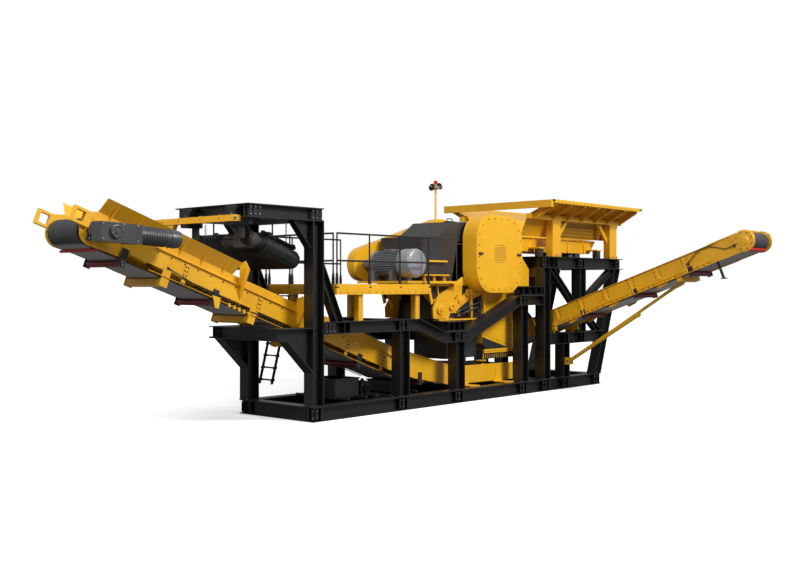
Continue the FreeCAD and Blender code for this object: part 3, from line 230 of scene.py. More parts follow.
# The sleeve under the feeder is red sheet rubber, the combs over the belt are black: one node holds
# both, so its colour changes at the height between them.
def skirtRubber(look):
    made, tree, shader, place = newMaterial("red and black sheet rubber")
    apart = addNode(tree, "SeparateXYZ", {}, {"Vector": place})
    above = addNode(tree, "Math", {"operation": "GREATER_THAN", 1: look["between"]}, {0: apart.outputs["Z"]})
    clouds = addNode(tree, "TexNoise", {"Scale": perMetre(120.0), "Detail": 4.0},
                     {"Vector": place})
    black = mixColours(tree, clouds, colour("#151516"), colour("#2A2A2B"))
    red = mixColours(tree, clouds, colour("#4A1013"), colour("#6E1A1D"))
    body = mixColours(tree, above, black, red)
    bump = addNode(tree, "Bump", {"Strength": 0.3, "Distance": 0.004}, {"Height": clouds})
    setNode(tree, shader, {"Roughness": 0.62},
            {"Base Color": body, "Normal": bump})
    return made


sheetRubber = skirtRubber({"between": 2.6})

slotFinish = {
    "frame_black": blackEnamel,
    "plant_yellow": yellowEnamel,
    "bracket_dark": darkBracket,
    "motor_grey": gearEnamel,
    "belt_rubber": beltRubber,
    "drum_dark": drumRubber,
    "roller_red": rollerPlastic,
    "jaw_steel": jawSteel,
    "cover_grey": coverEnamel,
    "motor_silver": silverEnamel,
    "skirt_rubber": sheetRubber,
    "rail_black": tubeEnamel,
    "spring_dark": darkBracket,
    "magnet_black": magnetRubber,
    "mast_yellow": yellowEnamel,
}
slotOf = {part["node"]: part["material_slot"] for part in frame["record"]["subparts"]}
for name, item in frame["nodes"].items():
    finish = sideBeltRubber if name == "side_belt" else slotFinish[slotOf[name]]
    for holder in item.material_slots:
        holder.material = finish
print("CAD nodes painted")


class Shape:
    # one detailed piece, gathered from plates, tubes and turned bits, in metres in the CAD frame

    def __init__(self):
        self.mesh = bmesh.new()

    def plate(self, outline, across, round=0.0):
        # a flat plate: outline points, swept by the vector across
        lower = [self.mesh.verts.new(p) for p in outline]
        upper = [self.mesh.verts.new(Vector(p) + Vector(across)) for p in outline]
        count = len(outline)
        faces = [self.mesh.faces.new(lower[::-1]), self.mesh.faces.new(upper)]
        for i in range(count):
            j = (i + 1) % count
            faces.append(self.mesh.faces.new((lower[i], lower[j], upper[j], upper[i])))
        bmesh.ops.recalc_face_normals(self.mesh, faces=faces)
        if round > 0.0:
            # a dictionary keeps the edges in one order, so every run gives the same mesh
            edges = list(dict.fromkeys(edge for face in faces for edge in face.edges))
            bmesh.ops.bevel(self.mesh, geom=edges, offset=round, segments=1, affect="EDGES")

    def box(self, one, other, round=0.004):
        # upright block between any two opposite corners
        low = Vector([min(pair) for pair in zip(one, other)])
        high = Vector([max(pair) for pair in zip(one, other)])
        corners = [(low.x, low.y), (high.x, low.y), (high.x, high.y), (low.x, high.y)]
        self.plate([Vector((x, y, low.z)) for x, y in corners], (0, 0, high.z - low.z), round)

    def turned(self, at, axis, profile, sides=24):
        # profile is (radius, distance along axis) pairs, closed at both ends
        facing = Vector(axis).normalized().to_track_quat("Z", "Y").to_matrix()
        rings = []
        for radius, along in profile:
            ring = []
            for k in range(sides):
                angle = 2 * math.pi * k / sides
                local = Vector((radius * math.cos(angle), radius * math.sin(angle), along))
                ring.append(self.mesh.verts.new(Vector(at) + facing @ local))
            rings.append(ring)
        self.skin(rings)

    def skin(self, rings):
        # faces between rings of points, closed at both ends
        faces = [self.mesh.faces.new(rings[0][::-1]), self.mesh.faces.new(rings[-1])]
        for one, two in zip(rings, rings[1:]):
            for k in range(len(one)):
                j = (k + 1) % len(one)
                faces.append(self.mesh.faces.new((one[k], one[j], two[j], two[k])))
        bmesh.ops.recalc_face_normals(self.mesh, faces=faces)

    def bolt(self, at, axis, size=0.024):
        # washer, six-sided head and a chamfer; size is the thread
        self.turned(at, axis, [(size * 1.05, 0.0), (size * 1.05, size * 0.16)], sides=12)
        lift = Vector(axis).normalized() * size * 0.16
        self.turned(Vector(at) + lift, axis,
                    [(size * 0.9, 0.0), (size * 0.9, size * 0.5), (size * 0.78, size * 0.64)], sides=6)

    def tube(self, points, radius, sides=10):
        # round bar through the points, with its ends closed
        points = [Vector(p) for p in points]
        rings = []
        side = None
        for i, point in enumerate(points):
            before = points[max(i - 1, 0)]
            after = points[min(i + 1, len(points) - 1)]
            along = (after - before).normalized()
            if side is None:
                side = along.orthogonal().normalized()
            side = (side - along * side.dot(along)).normalized()
            other = along.cross(side)
            ring = []
            for k in range(sides):
                angle = 2 * math.pi * k / sides
                out = side * math.cos(angle) + other * math.sin(angle)
                ring.append(self.mesh.verts.new(point + out * radius))
            rings.append(ring)
        self.skin(rings)

    def done(self, name, finish, slot, smooth=True):
        bmesh.ops.recalc_face_normals(self.mesh, faces=self.mesh.faces)
        data = bpy.data.meshes.new(name)
        self.mesh.to_mesh(data)
        self.mesh.free()
        data.materials.append(finish)
        made = bpy.data.objects.new(name, data)
        bpy.context.scene.collection.objects.link(made)
        if smooth:
            data.shade_smooth()
            data.set_sharp_from_angle(angle=math.radians(35))
        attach(made, "plant")
        return made


def shapes(count):
    return [Shape() for k in range(count)]


def arc(centre, radius, start, end, count, plane):
    # points on an arc in degrees; plane gives the two unit vectors
    out = []
    for k in range(count + 1):
        angle = math.radians(start + (end - start) * k / count)
        out.append(Vector(centre) + Vector(plane[0]) * radius * math.cos(angle)
                   + Vector(plane[1]) * radius * math.sin(angle))
    return out


def sideways(points, y):
    # x, z points to space at that y
    return [Vector((x, y, z)) for x, z in points]


nearY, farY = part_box("posts_near")[0].y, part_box("posts_far")[1].y
guardLow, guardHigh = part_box("flywheel_guard")
guardMiddle = (guardLow + guardHigh) / 2

# Flywheel guard: cover plate on the rounded drum, with bolts, a louvre patch and two lifting eyes.
guard = {"inset": 0.05, "coverThick": 0.008, "corner": 0.60, "bolts": 22, "slot": (0.052, 0.016),
         "slotPitch": (0.068, 0.046), "rows": 11, "handleOut": 0.86,
         "band": (0.006, 0.64, 0.03), "boltInset": 0.04}


def roundedOutline(middle, halfX, halfZ, corner, y, perCorner=8):
    points = []
    for cx, cz, start in ((1, 1, 0), (-1, 1, 90), (-1, -1, 180), (1, -1, 270)):
        centre = (middle.x + cx * (halfX - corner), y, middle.z + cz * (halfZ - corner))
        points += arc(centre, corner, start, start + 90, perCorner, ((1, 0, 0), (0, 0, 1)))
    return points


def flywheelCover(look):
    face = guardLow.y
    halfX = (guardHigh.x - guardLow.x) / 2 - look["inset"]
    halfZ = (guardHigh.z - guardLow.z) / 2 - look["inset"]
    cover = Shape()
    outline = roundedOutline(guardMiddle, halfX, halfZ, look["corner"], face)
    cover.plate(outline, (0, -look["coverThick"], 0), 0.003)
    front = face - look["coverThick"]
    # rim bands where the two half shells meet
    proud, bandCorner, bandWide = look["band"]
    grow = look["inset"] + proud
    for y in (face + 0.02, guardHigh.y - 0.05):
        outer = roundedOutline(guardMiddle, halfX + grow, halfZ + grow, bandCorner, y)
        cover.plate(outer, (0, bandWide, 0))
    cover.done("flywheel_cover", yellowEnamel, "plant_yellow")

    bolts = Shape()
    inner = look["boltInset"]
    ring = roundedOutline(guardMiddle, halfX - inner, halfZ - inner, look["corner"] - inner, front)
    lengths = [0.0]
    for one, two in zip(ring, ring[1:] + ring[:1]):
        lengths.append(lengths[-1] + (two - one).length)
    for k in range(look["bolts"]):
        want = lengths[-1] * k / look["bolts"]
        i = max(j for j in range(len(ring)) if lengths[j] <= want)
        share = (want - lengths[i]) / max(lengths[i + 1] - lengths[i], 1e-6)
        bolts.bolt(ring[i].lerp(ring[(i + 1) % len(ring)], share), (0, -1, 0), 0.016)
    bolts.done("flywheel_cover_bolts", blackSteel, "bracket_dark")

    # the louvre slots are dark blocks on the cover: painted shade for the dark openings
    slots = Shape()
    width, height = look["slot"]
    for row in range(look["rows"]):
        z = guardMiddle.z + (row - look["rows"] // 2) * look["slotPitch"][1]
        count = 5 if row in (0, look["rows"] - 1) else 7 if row in (1, look["rows"] - 2) else 8
        for k in range(count):
            x = guardMiddle.x + (k - (count - 1) / 2) * look["slotPitch"][0]
            slots.box((x - width * 0.36, front - 0.002, z - height / 2),
                      (x + width * 0.36, front + 0.004, z + height / 2), 0.0)
    slots.done("flywheel_cover_louvres", blackEnamel, "frame_black", smooth=False)

    handles = Shape()
    for side in (-1, 1):
        x = guardMiddle.x + side * look["handleOut"]
        bow = ((-0.07, 0.0), (-0.07, 0.04), (-0.05, 0.055), (0.05, 0.055), (0.07, 0.04), (0.07, 0.0))
        handles.tube([(x + dx, front - out, guardMiddle.z) for dx, out in bow], 0.014)
        handles.box((x - 0.09, front - 0.012, guardMiddle.z - 0.03),
                    (x + 0.09, front, guardMiddle.z + 0.03), 0.003)
    handles.done("flywheel_cover_handles", tubeEnamel, "rail_black")


flywheelCover(guard)

# Electric motor: ribbed cast body, domed fan cowl at the near end, feet, terminal box and flange.
motorLook = {"ribs": 34, "ribHigh": 0.028, "cowl": 0.36, "bodyRadius": 0.30, "flange": 0.33, "farEnd": 0.36,
             "grille": (0.06, 0.11, 0.16, 0.21), "holePitch": 110, "boltCircle": 0.315}
motorLow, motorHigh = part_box("motor")


def crusherMotor(look):
    middle = Vector(((motorLow.x + motorHigh.x) / 2, 0.0, motorHigh.z - look["cowl"]))
    near = motorLow.y
    cowl = Shape()
    # domed near end with a rolled lip, then the straight cowl
    cowl.turned((middle.x, near + 0.40, middle.z), (0, -1, 0),
                [(0.345, 0.0), (look["cowl"], 0.02), (look["cowl"], 0.315), (0.352, 0.345), (0.33, 0.368),
                 (0.28, 0.384), (0.18, 0.395), (0.06, 0.40)], sides=48)
    cowl.turned((middle.x, near + 0.44, middle.z), (0, -1, 0), [(0.352, 0.0), (0.352, 0.03)], sides=48)
    cowl.done("motor_cowl", silverEnamel, "motor_silver")
    # the cowl's grille holes are black studs: painted shade for the dark openings
    grille = Shape()
    for radius in look["grille"]:
        holes = int(radius * look["holePitch"])
        for k in range(holes):
            angle = 2 * math.pi * k / holes
            dome = 0.022 * (radius / look["grille"][-1]) ** 2
            spot = (middle.x + radius * math.cos(angle), near - 0.001 + dome,
                    middle.z + radius * math.sin(angle))
            grille.turned(spot, (0, -1, 0), [(0.011, -0.006), (0.011, 0.002)], sides=8)
    grille.done("motor_cowl_grille", blackEnamel, "frame_black")

    body = Shape()
    start, end = near + 0.42, look["farEnd"]
    body.turned((middle.x, start, middle.z), (0, 1, 0),
                [(look["bodyRadius"], 0.0), (look["bodyRadius"], 0.02),
                 (look["bodyRadius"], end - start - 0.04),
                 (look["flange"], end - start - 0.03), (look["flange"], end - start)], sides=48)
    for k in range(look["ribs"]):
        angle = 2 * math.pi * k / look["ribs"]
        if math.sin(angle) < -0.85:
            continue
        out = Vector((math.cos(angle), 0, math.sin(angle)))
        aside = Vector((-math.sin(angle), 0, math.cos(angle))) * 0.006
        foot = Vector((middle.x, start + 0.05, middle.z)) + out * (look["bodyRadius"] - 0.004)
        tip = foot + out * (look["ribHigh"] + 0.004)
        body.plate([foot - aside, foot + aside, tip + aside * 0.5, tip - aside * 0.5],
                   (0, end - start - 0.14, 0))
    for y in (start + 0.12, end - 0.22):
        for side in (-1, 1):
            x = middle.x + side * 0.27
            body.box((x - 0.09, y, motorLow.z), (x + 0.09, y + 0.12, middle.z - 0.18), 0.008)
    # terminal box on top, shaft end at the far side
    body.box((middle.x - 0.15, -0.28, middle.z + 0.27), (middle.x + 0.15, 0.04, middle.z + 0.355), 0.012)
    body.turned((middle.x, end, middle.z), (0, 1, 0), [(0.12, 0.0), (0.12, motorHigh.y - end - 0.004)],
                sides=24)
    body.done("motor_body", castMotorEnamel, "motor_grey")
    bolts = Shape()
    for k in range(8):
        angle = 2 * math.pi * (k + 0.5) / 8
        rim = look["boltCircle"] * Vector((math.cos(angle), 0, math.sin(angle)))
        bolts.bolt((middle.x + rim.x, end, middle.z + rim.z), (0, 1, 0), 0.018)
    for dx, y in ((-0.12, -0.25), (0.12, -0.25), (0.12, 0.01), (-0.12, 0.01)):
        bolts.bolt((middle.x + dx, y, middle.z + 0.355), (0, 0, 1), 0.01)
    bolts.done("motor_bolts", zincSteel, "motor_silver")


crusherMotor(motorLook)
for name in ("motor_cowl", "motor_body"):
    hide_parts("motor")
print("flywheel guard and motor detailed")

# Bolted joints of the frame: three narrow end plates at each post, two bolts in each, on both outer
# faces. Stations are the near edges of the posts, heights the middles of the beams they join.
joint = {"base": (-6.0, -3.15, -1.01, 1.82, 2.92, 3.93, 5.67), "baseMiddle": 0.165,
         "chord": ((-3.15, 2.04), (-1.01, 1.69), (1.82, 2.58), (2.92, 3.655), (4.82, 3.655), (6.9, 3.655),
                   (-5.60, 2.04), (-6.0, 4.535), (-7.75, 4.535)),
         "width": 0.33, "plate": (0.075, 0.235), "thick": 0.012, "bolt": 0.022, "boltGap": 0.075,
         "recess": 0.062, "shares": (0.14, 0.5, 0.86)}


def boltedJoints(look):
    plates, bolts = shapes(2)
    spots = [(x, look["baseMiddle"]) for x in look["base"]] + list(look["chord"])
    for x, z in spots:
        for side, y in ((-1, nearY), (1, farY)):
            for share in look["shares"]:
                middle = x + look["width"] * share
                wide, high = look["plate"]
                low, high = (middle - wide / 2, z - high / 2), (middle + wide / 2, z + high / 2)
                # recessed against the web, so that the beam's flanges still stand proud
                inner, outer = y - side * look["recess"], y - side * (look["recess"] - look["thick"])
                plates.box((low[0], inner, low[1]), (high[0], outer, high[1]), 0.003)
                for up in (-1, 1):
                    bolts.bolt((middle, outer, z + up * look["boltGap"]), (0, side, 0), look["bolt"])
    plates.done("joint_plates", blackEnamel, "frame_black")
    bolts.done("joint_bolts", zincSteel, "frame_black")


boltedJoints(joint)

# Foot plates under the posts and leaning legs, each with four anchor bolts.
feet = {"low": 0.331, "high": 0.347, "wide": 0.145, "bolt": 0.02}


def footPlates(look):
    plates, bolts = shapes(2)
    for x in joint["base"][:6]:
        for y in (nearY + 0.15, farY - 0.15):
            plates.box((x - 0.03, y - look["wide"], look["low"]),
                       (x + 0.36, y + look["wide"], look["high"]), 0.003)
            for dx in (0.0, 0.33):
                for dy in (-0.12, 0.12):
                    bolts.bolt((x + dx, y + dy, look["high"]), (0, 0, 1), look["bolt"])
    plates.done("post_foot_plates", blackEnamel, "frame_black")
    bolts.done("post_foot_bolts", zincSteel, "frame_black")


footPlates(feet)

# Deck: tread plate on top, kick strips, bolt rows on the edge, and heavy boots under the rail posts.
deckLow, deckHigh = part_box("platform_deck")
deck = {"tread": 0.006, "kick": (0.008, 0.09), "boot": (0.05, 0.34), "railInset": 0.045, "posts": 4}
railLow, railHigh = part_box("handrails")


def treadPlate(name, look):
    # durbar pattern: short raised bars, alternately turned, every 30 mm, drawn at 60 mm so it shows
    made, tree, shader, place = newMaterial(name)
    waves = []
    for turn in (0.785, -0.785):
        spun = addNode(tree, "Mapping", {"Rotation": (0.0, 0.0, turn)}, {"Vector": place})
        waves.append(addNode(tree, "TexWave",
                             {"Scale": perMetre(look["pitch"]) / 20.0, "bands_direction": "X"},
                             {"Vector": spun}))
    both = addNode(tree, "Math", {"operation": "MULTIPLY"},
                   {0: waves[0].outputs["Fac"], 1: waves[1].outputs["Fac"]})
    raised = addNode(tree, "MapRange", {"From Min": 0.35, "From Max": 0.6}, {"Value": both})
    body = mixColours(tree, raised, colour(look["low"]), colour(look["high"]))
    bump = addNode(tree, "Bump", {"Strength": 0.6, "Distance": 0.004}, {"Height": raised})
    setNode(tree, shader, {"Roughness": 0.45, "Metallic": 0.6},
            {"Base Color": body, "Normal": bump})
    return made


deckTread = treadPlate("durbar tread plate", {"pitch": 60.0, "low": "#3A3B3C", "high": "#6E6F70"})


def deckDetails(look):
    tread = Shape()
    tread.box((deckLow.x + 0.03, deckLow.y + 0.03, deckHigh.z),
              (deckHigh.x - 0.03, deckHigh.y - 0.03, deckHigh.z + look["tread"]), 0.002)
    tread.done("deck_tread", deckTread, "rail_black", smooth=False)
    kick = Shape()
    thick, high = look["kick"]
    for y in (deckLow.y + 0.012, deckHigh.y - 0.012 - thick):
        kick.box((deckLow.x + 0.02, y, deckHigh.z), (deckHigh.x - 0.02, y + thick, deckHigh.z + high), 0.002)
    kick.box((deckLow.x + 0.012, deckLow.y + 0.02, deckHigh.z),
             (deckLow.x + 0.012 + thick, deckHigh.y - 0.02, deckHigh.z + high), 0.002)
    kick.done("deck_kick_strips", yellowEnamel, "plant_yellow")
    bolts = Shape()
    for k in range(14):
        x = deckLow.x + 0.12 + k * (deckHigh.x - deckLow.x - 0.24) / 13
        for side, y in ((-1, deckLow.y), (1, deckHigh.y)):
            bolts.bolt((x, y, deckLow.z + 0.05), (0, side, 0), 0.014)
    bolts.done("deck_bolts", zincSteel, "plant_yellow")
    boots = Shape()
    wide, tall = look["boot"]
    first = deckLow.x + look["railInset"]
    spots = [(first, -1.085 + k * 2.17 / 3) for k in range(4)]
    for y in (railLow.y + 0.021, railHigh.y - 0.021):
        last = railHigh.x - 0.021 if y < 0 else deckLow.x + 2.55
        spots += [(first + k * (last - first) / (look["posts"] - 1), y) for k in range(look["posts"])]
    for x, y in spots:
        boots.turned((x, y, deckHigh.z), (0, 0, 1),
                     [(wide, 0.0), (wide, 0.02), (0.034, 0.03), (0.036, tall * 0.6), (0.024, tall)], sides=16)
    boots.done("rail_boots", tubeEnamel, "rail_black")


deckDetails(deck)

# Ladder: an anti-slip tread on each rung and a clamp at each of its ends.
ladderLow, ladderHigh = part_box("ladder")
ladderLook = {"rungGap": 0.29, "first": 0.70, "lean": 0.27, "footX": -5.01}


def ladderDetails(look):
    ends = Shape()
    count = int((ladderHigh.z - ladderLow.z) / look["rungGap"])
    for k in range(count):
        z = look["first"] + k * look["rungGap"]
        x = look["footX"] + look["lean"] * (z - ladderLow.z)
        for y in (ladderLow.y + 0.012, ladderHigh.y - 0.017):
            ends.box((x - 0.055, y - 0.02, z - 0.028), (x + 0.055, y + 0.026, z + 0.028), 0.004)
        ends.box((x - 0.03, ladderLow.y + 0.03, z + 0.012), (x + 0.03, ladderHigh.y - 0.03, z + 0.022), 0.003)
    ends.done("ladder_treads", tubeEnamel, "rail_black")


ladderDetails(ladderLook)
print("frame joints, deck and ladder detailed")

# The main conveyor climbs at one slope: "along" is x in the CAD frame, "up" is square to the belt.
mainRun = {"slope": 0.3616, "headX": -10.99, "headZ": 3.98, "bendX": -2.4, "plate": 0.60, "halfHigh": 0.24}
sideRun = {"slope": 0.3645, "refY": -1.2, "refZ": 2.045, "left": 3.45, "right": 4.50, "half": 0.24}


def mainAt(x, up=0.0):
    # x, z of a point that far above the main belt's axis
    length = math.hypot(1.0, mainRun["slope"])
    z = mainRun["headZ"] - (x - mainRun["headX"]) * mainRun["slope"]
    return x + up * mainRun["slope"] / length, z + up / length


def sideAt(y, up=0.0):
    length = math.hypot(1.0, sideRun["slope"])
    z = sideRun["refZ"] + sideRun["slope"] * (sideRun["refY"] - y)
    return y + up * sideRun["slope"] / length, z + up / length


def mainBar(shape, x0, x1, up0, up1, y0, y1, round=0.003):
    # a bar that lies along the main conveyor
    y0, y1 = sorted((y0, y1))
    outline = [mainAt(x0, up0), mainAt(x1, up0), mainAt(x1, up1), mainAt(x0, up1)]
    shape.plate(sideways(outline, y0), (0, y1 - y0, 0), round)


def sideBar(shape, yStart, yEnd, up0, up1, x0, x1, round=0.003):
    # a bar that lies along the fines conveyor
    x0, x1 = sorted((x0, x1))
    outline = [sideAt(yStart, up0), sideAt(yEnd, up0), sideAt(yEnd, up1), sideAt(yStart, up1)]
    shape.plate([Vector((x0, y, z)) for y, z in outline], (x1 - x0, 0, 0), round)


mainLook = {"from": -10.3, "flange": 0.045, "fold": 0.012, "boltGap": 0.32, "bolt": 0.016,
            "gap": (-6.02, -5.6),
            "straps": (-8.9, -7.0, -4.3, -3.1), "strapThick": 0.012}


def mainPlateDetails(look):
    strips, bolts, straps = shapes(3)
    half = mainRun["halfHigh"]
    gapStart, gapEnd = look["gap"]
    for side in (-1, 1):
        y = side * mainRun["plate"]
        # folded edges along the bottom and the top of each side plate
        for x0, x1 in ((look["from"] + 0.6, gapStart), (gapEnd, mainRun["bendX"] - 0.1)):
            for low in (-half, half - look["fold"]):
                mainBar(strips, x0, x1, low, low + look["fold"], y, y + side * look["flange"])
        for k in range(26):
            x = look["from"] + 0.7 + k * look["boltGap"]
            if x > mainRun["bendX"] - 0.15 or gapStart - 0.03 < x < gapEnd:
                continue
            for up in (-0.17, 0.17):
                px, pz = mainAt(x, up)
                bolts.bolt((px, y, pz), (0, side, 0), look["bolt"])
        # joint straps between plate lengths
        face = y + side * look["strapThick"]
        for x in look["straps"]:
            mainBar(straps, x - 0.05, x + 0.05, -0.2, 0.2, y, face)
            for up in (-0.13, -0.045, 0.045, 0.13):
                for dx in (-0.028, 0.028):
                    px, pz = mainAt(x + dx, up)
                    bolts.bolt((px, face, pz), (0, side, 0), look["bolt"])
    strips.done("main_plate_edges", yellowEnamel, "plant_yellow")
    straps.done("main_joint_straps", yellowEnamel, "plant_yellow")
    bolts.done("main_plate_bolts", blackSteel, "plant_yellow")


mainPlateDetails(mainLook)

# Head end: yellow cheeks over the drum's ends with a bearing each, red scraper under the drum.
headLook = {"cheek": 0.275, "thick": 0.014, "bearing": 0.11, "bolts": (0.085, 0.13), "scrapers": 6}


def mainHead(look):
    cheeks, bearings, bolts = shapes(3)
    centre = Vector((mainRun["headX"], 0.0, mainRun["headZ"]))
    for side in (-1, 1):
        y = side * (mainRun["plate"] + 0.002)
        thick = side * look["thick"]
        outline = [mainAt(mainRun["headX"] + 0.62, -0.235), mainAt(mainRun["headX"] + 0.62, 0.235),
                   mainAt(mainRun["headX"] + 0.1, 0.27)]
        rounded = arc((centre.x, 0, centre.z), look["cheek"], 95, 245, 10, ((1, 0, 0), (0, 0, 1)))
        outline += [(p.x, p.z) for p in rounded]
        cheeks.plate(sideways(outline, y), (0, thick, 0), 0.002)
        # bearing housing: square foot with a round cap
        for up in (-0.13, 0.13):
            px, pz = mainAt(mainRun["headX"], up)
            bearings.box((px - 0.11, y + thick, pz - 0.045), (px + 0.11, y + thick * 4, pz + 0.045), 0.008)
        bearings.turned((centre.x, y + thick, centre.z), (0, side, 0),
                        [(look["bearing"], 0.0), (look["bearing"], 0.05), (0.085, 0.075), (0.05, 0.08)],
                        sides=32)
        wide, high = look["bolts"]
        for dx in (-wide, wide):
            for dz in (-high, high):
                bolts.bolt((centre.x + dx, y + thick * 4, centre.z + dz), (0, side, 0), 0.02)
    cheeks.done("main_head_cheeks", yellowEnamel, "plant_yellow")
    bearings.done("main_head_bearings", gearEnamel, "motor_grey")
    bolts.done("main_head_bolts", zincSteel, "plant_yellow")
    scraper = Shape()
    low = mainAt(mainRun["headX"] + 0.16, -0.30)
    scraper.tube([(low[0], -0.62, low[1]), (low[0], 0.62, low[1])], 0.028)
    for k in range(look["scrapers"]):
        y0 = -0.50 + k * 0.168
        scraper.box((low[0] - 0.03, y0, low[1] + 0.01), (low[0] + 0.012, y0 + 0.155, low[1] + 0.07), 0.006)
    scraper.done("main_head_scraper", scraperPlastic, "roller_red")


mainHead(headLook)

# Side trim: a conduit clipped along the near plate, the return rollers' end plates with their
# bolts, and a tab with guard ribs beside it.
trimLook = {"conduit": 0.011, "sag": (-0.05, -0.10, -0.16, -0.12, -0.17, -0.19, -0.14, -0.18, -0.2),
            "step": 0.42,
            "rollers": 4, "guardRibs": 5}


def mainTrim(look):
    conduit = Shape()
    y = -mainRun["plate"] - 0.03
    points = sideways([mainAt(-9.3 + k * look["step"], up) for k, up in enumerate(look["sag"])], y)
    conduit.tube(points, look["conduit"], 8)
    clips = Shape()
    for p in points[::2]:
        clips.box((p[0] - 0.02, y - 0.015, p[2] - 0.022), (p[0] + 0.02, y + 0.03, p[2] + 0.022), 0.004)
    conduit.done("main_side_conduit", blackEnamel, "rail_black")
    clips.done("main_conduit_clips", blackSteel, "rail_black")

    ends, bolts = shapes(2)
    for k in range(look["rollers"]):
        low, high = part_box("main_roller_" + str(k + 1))
        middle = (low + high) / 2
        for side in (-1, 1):
            y = side * (mainRun["plate"] + 0.022)
            ends.box((middle.x - 0.045, y, middle.z - 0.06),
                     (middle.x + 0.045, y + side * 0.014, middle.z + 0.06), 0.004)
            for dz in (-0.035, 0.035):
                bolts.bolt((middle.x, y + side * 0.014, middle.z + dz), (0, side, 0), 0.016)
    ends.done("roller_end_plates", darkBracket, "bracket_dark")
    bolts.done("roller_end_bolts", zincSteel, "bracket_dark")
    # yellow tab, and the guard ribs beside it
    tab = Shape()
    px, pz = mainAt(-8.15, -0.24)
    tab.plate(sideways([(px - 0.02, pz + 0.06), (px + 0.18, pz), (px + 0.13, pz - 0.22),
                        (px + 0.03, pz - 0.2)], y=-0.66), (0, 0.02, 0), 0.003)
    for k in range(look["guardRibs"]):
        rx, rz = mainAt(-7.75 + k * 0.13, -0.26)
        tab.box((rx, -0.66, rz - 0.03), (rx + 0.05, -0.60, rz + 0.05), 0.004)
    tab.done("main_side_tab", yellowEnamel, "plant_yellow")


mainTrim(trimLook)

# Gearmotor at the head: ribbed fan cowl, gearbox cover ring and bolts.
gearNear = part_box("main_gearmotor")[0].y
gearLook = {"ribs": 9, "ribPitch": 0.055, "tilt": -0.06, "ringBolts": 6,
            "caseBolts": ((-0.13, 0.13), (0.30, 0.12), (0.60, 0.10),
                          (-0.13, -0.15), (0.30, -0.16), (0.60, -0.18))}


def gearmotorTrim(look):
    ribs, bolts = shapes(2)
    centre = Vector((mainRun["headX"] + 0.13, gearNear, mainRun["headZ"] - 0.01))
    ribs.turned(centre, (0, -1, 0), [(0.125, -0.012), (0.125, 0.012), (0.11, 0.02), (0.10, 0.02),
                                     (0.095, 0.006), (0.045, 0.006), (0.04, 0.02), (0.02, 0.022)], sides=32)
    for k in range(look["ringBolts"]):
        angle = math.radians(60 * k + 15)
        bolts.bolt(centre + Vector((0.105 * math.cos(angle), -0.018, 0.105 * math.sin(angle))), (0, -1, 0),
                   0.012)
    start = Vector((mainRun["headX"] + 0.75, gearNear + 0.205, mainRun["headZ"] - 0.055))
    along = Vector((1.0, 0.0, look["tilt"])).normalized()
    for k in range(look["ribs"]):
        ribs.turned(start + along * (0.06 + look["ribPitch"] * k), along, [(0.178, 0.0), (0.178, 0.014)],
                    sides=40)
    ribs.turned(start + along * 0.62, along, [(0.18, 0.0), (0.182, 0.01), (0.182, 0.16)], sides=40)
    ribs.done("gearmotor_ribs", gearEnamel, "motor_grey")
    for dx, dz in look["caseBolts"]:
        bolts.bolt((mainRun["headX"] + dx, gearNear + 0.038, mainRun["headZ"] + dz), (0, -1, 0), 0.018)
    bolts.done("gearmotor_bolts", zincSteel, "motor_grey")


gearmotorTrim(gearLook)
print("main conveyor detailed")

# Crusher casting: sloping support arm with its pivot boss, pockets between ribs, foot flange, and
# jaw tension rods with springs.
castingLook = {"face": 0.78, "arm": ((-1.27, 2.36), (-0.24, 3.14)), "armWide": (0.25, 0.13), "rib": 0.055,
               "bosses": ((-0.66, 2.44, 0.10), (-0.30, 2.58, 0.085), (0.02, 2.80, 0.10), (-0.48, 2.72, 0.06)),
               "pockets": ([(-1.64, 2.97), (-0.78, 2.97), (-1.12, 2.68), (-1.5, 2.62)],
                           [(-0.50, 2.30), (0.10, 2.30), (0.10, 2.62), (-0.22, 2.46)],
                           [(-0.22, 2.72), (0.08, 2.90), (0.08, 3.00), (-0.20, 2.98)],
                           [(0.22, 2.16), (0.62, 2.16), (0.62, 2.74), (0.22, 2.62)],
                           [(-0.76, 2.14), (-0.30, 2.14), (-0.40, 2.25), (-0.70, 2.28)]),
               "ribs": ([(-1.69, 3.03), (-1.60, 3.03), (-1.44, 2.55), (-1.52, 2.50)],
                        [(-1.30, 3.03), (-1.26, 3.03), (-1.20, 2.66), (-1.24, 2.64)],
                        [(0.12, 2.12), (0.17, 2.12), (0.17, 3.02), (0.12, 3.02)],
                        [(0.66, 2.10), (0.72, 2.10), (0.72, 2.80), (0.66, 2.80)],
                        [(-0.58, 2.28), (-0.54, 2.26), (-0.16, 2.70), (-0.20, 2.74)]),
               "brackets": (-1.80, -1.42, -1.02), "coils": 9, "perTurn": 12, "coil": 0.042}
# painted shade: flat near-black sheets laid on the casting where its recesses fall dark
pocketShade = sprayedEnamel("painted shade in a casting pocket", {
    **enamel, "dark": "#151412", "light": "#1F1D1A", "highlightColour": "#3A3733", "rough": 0.6})


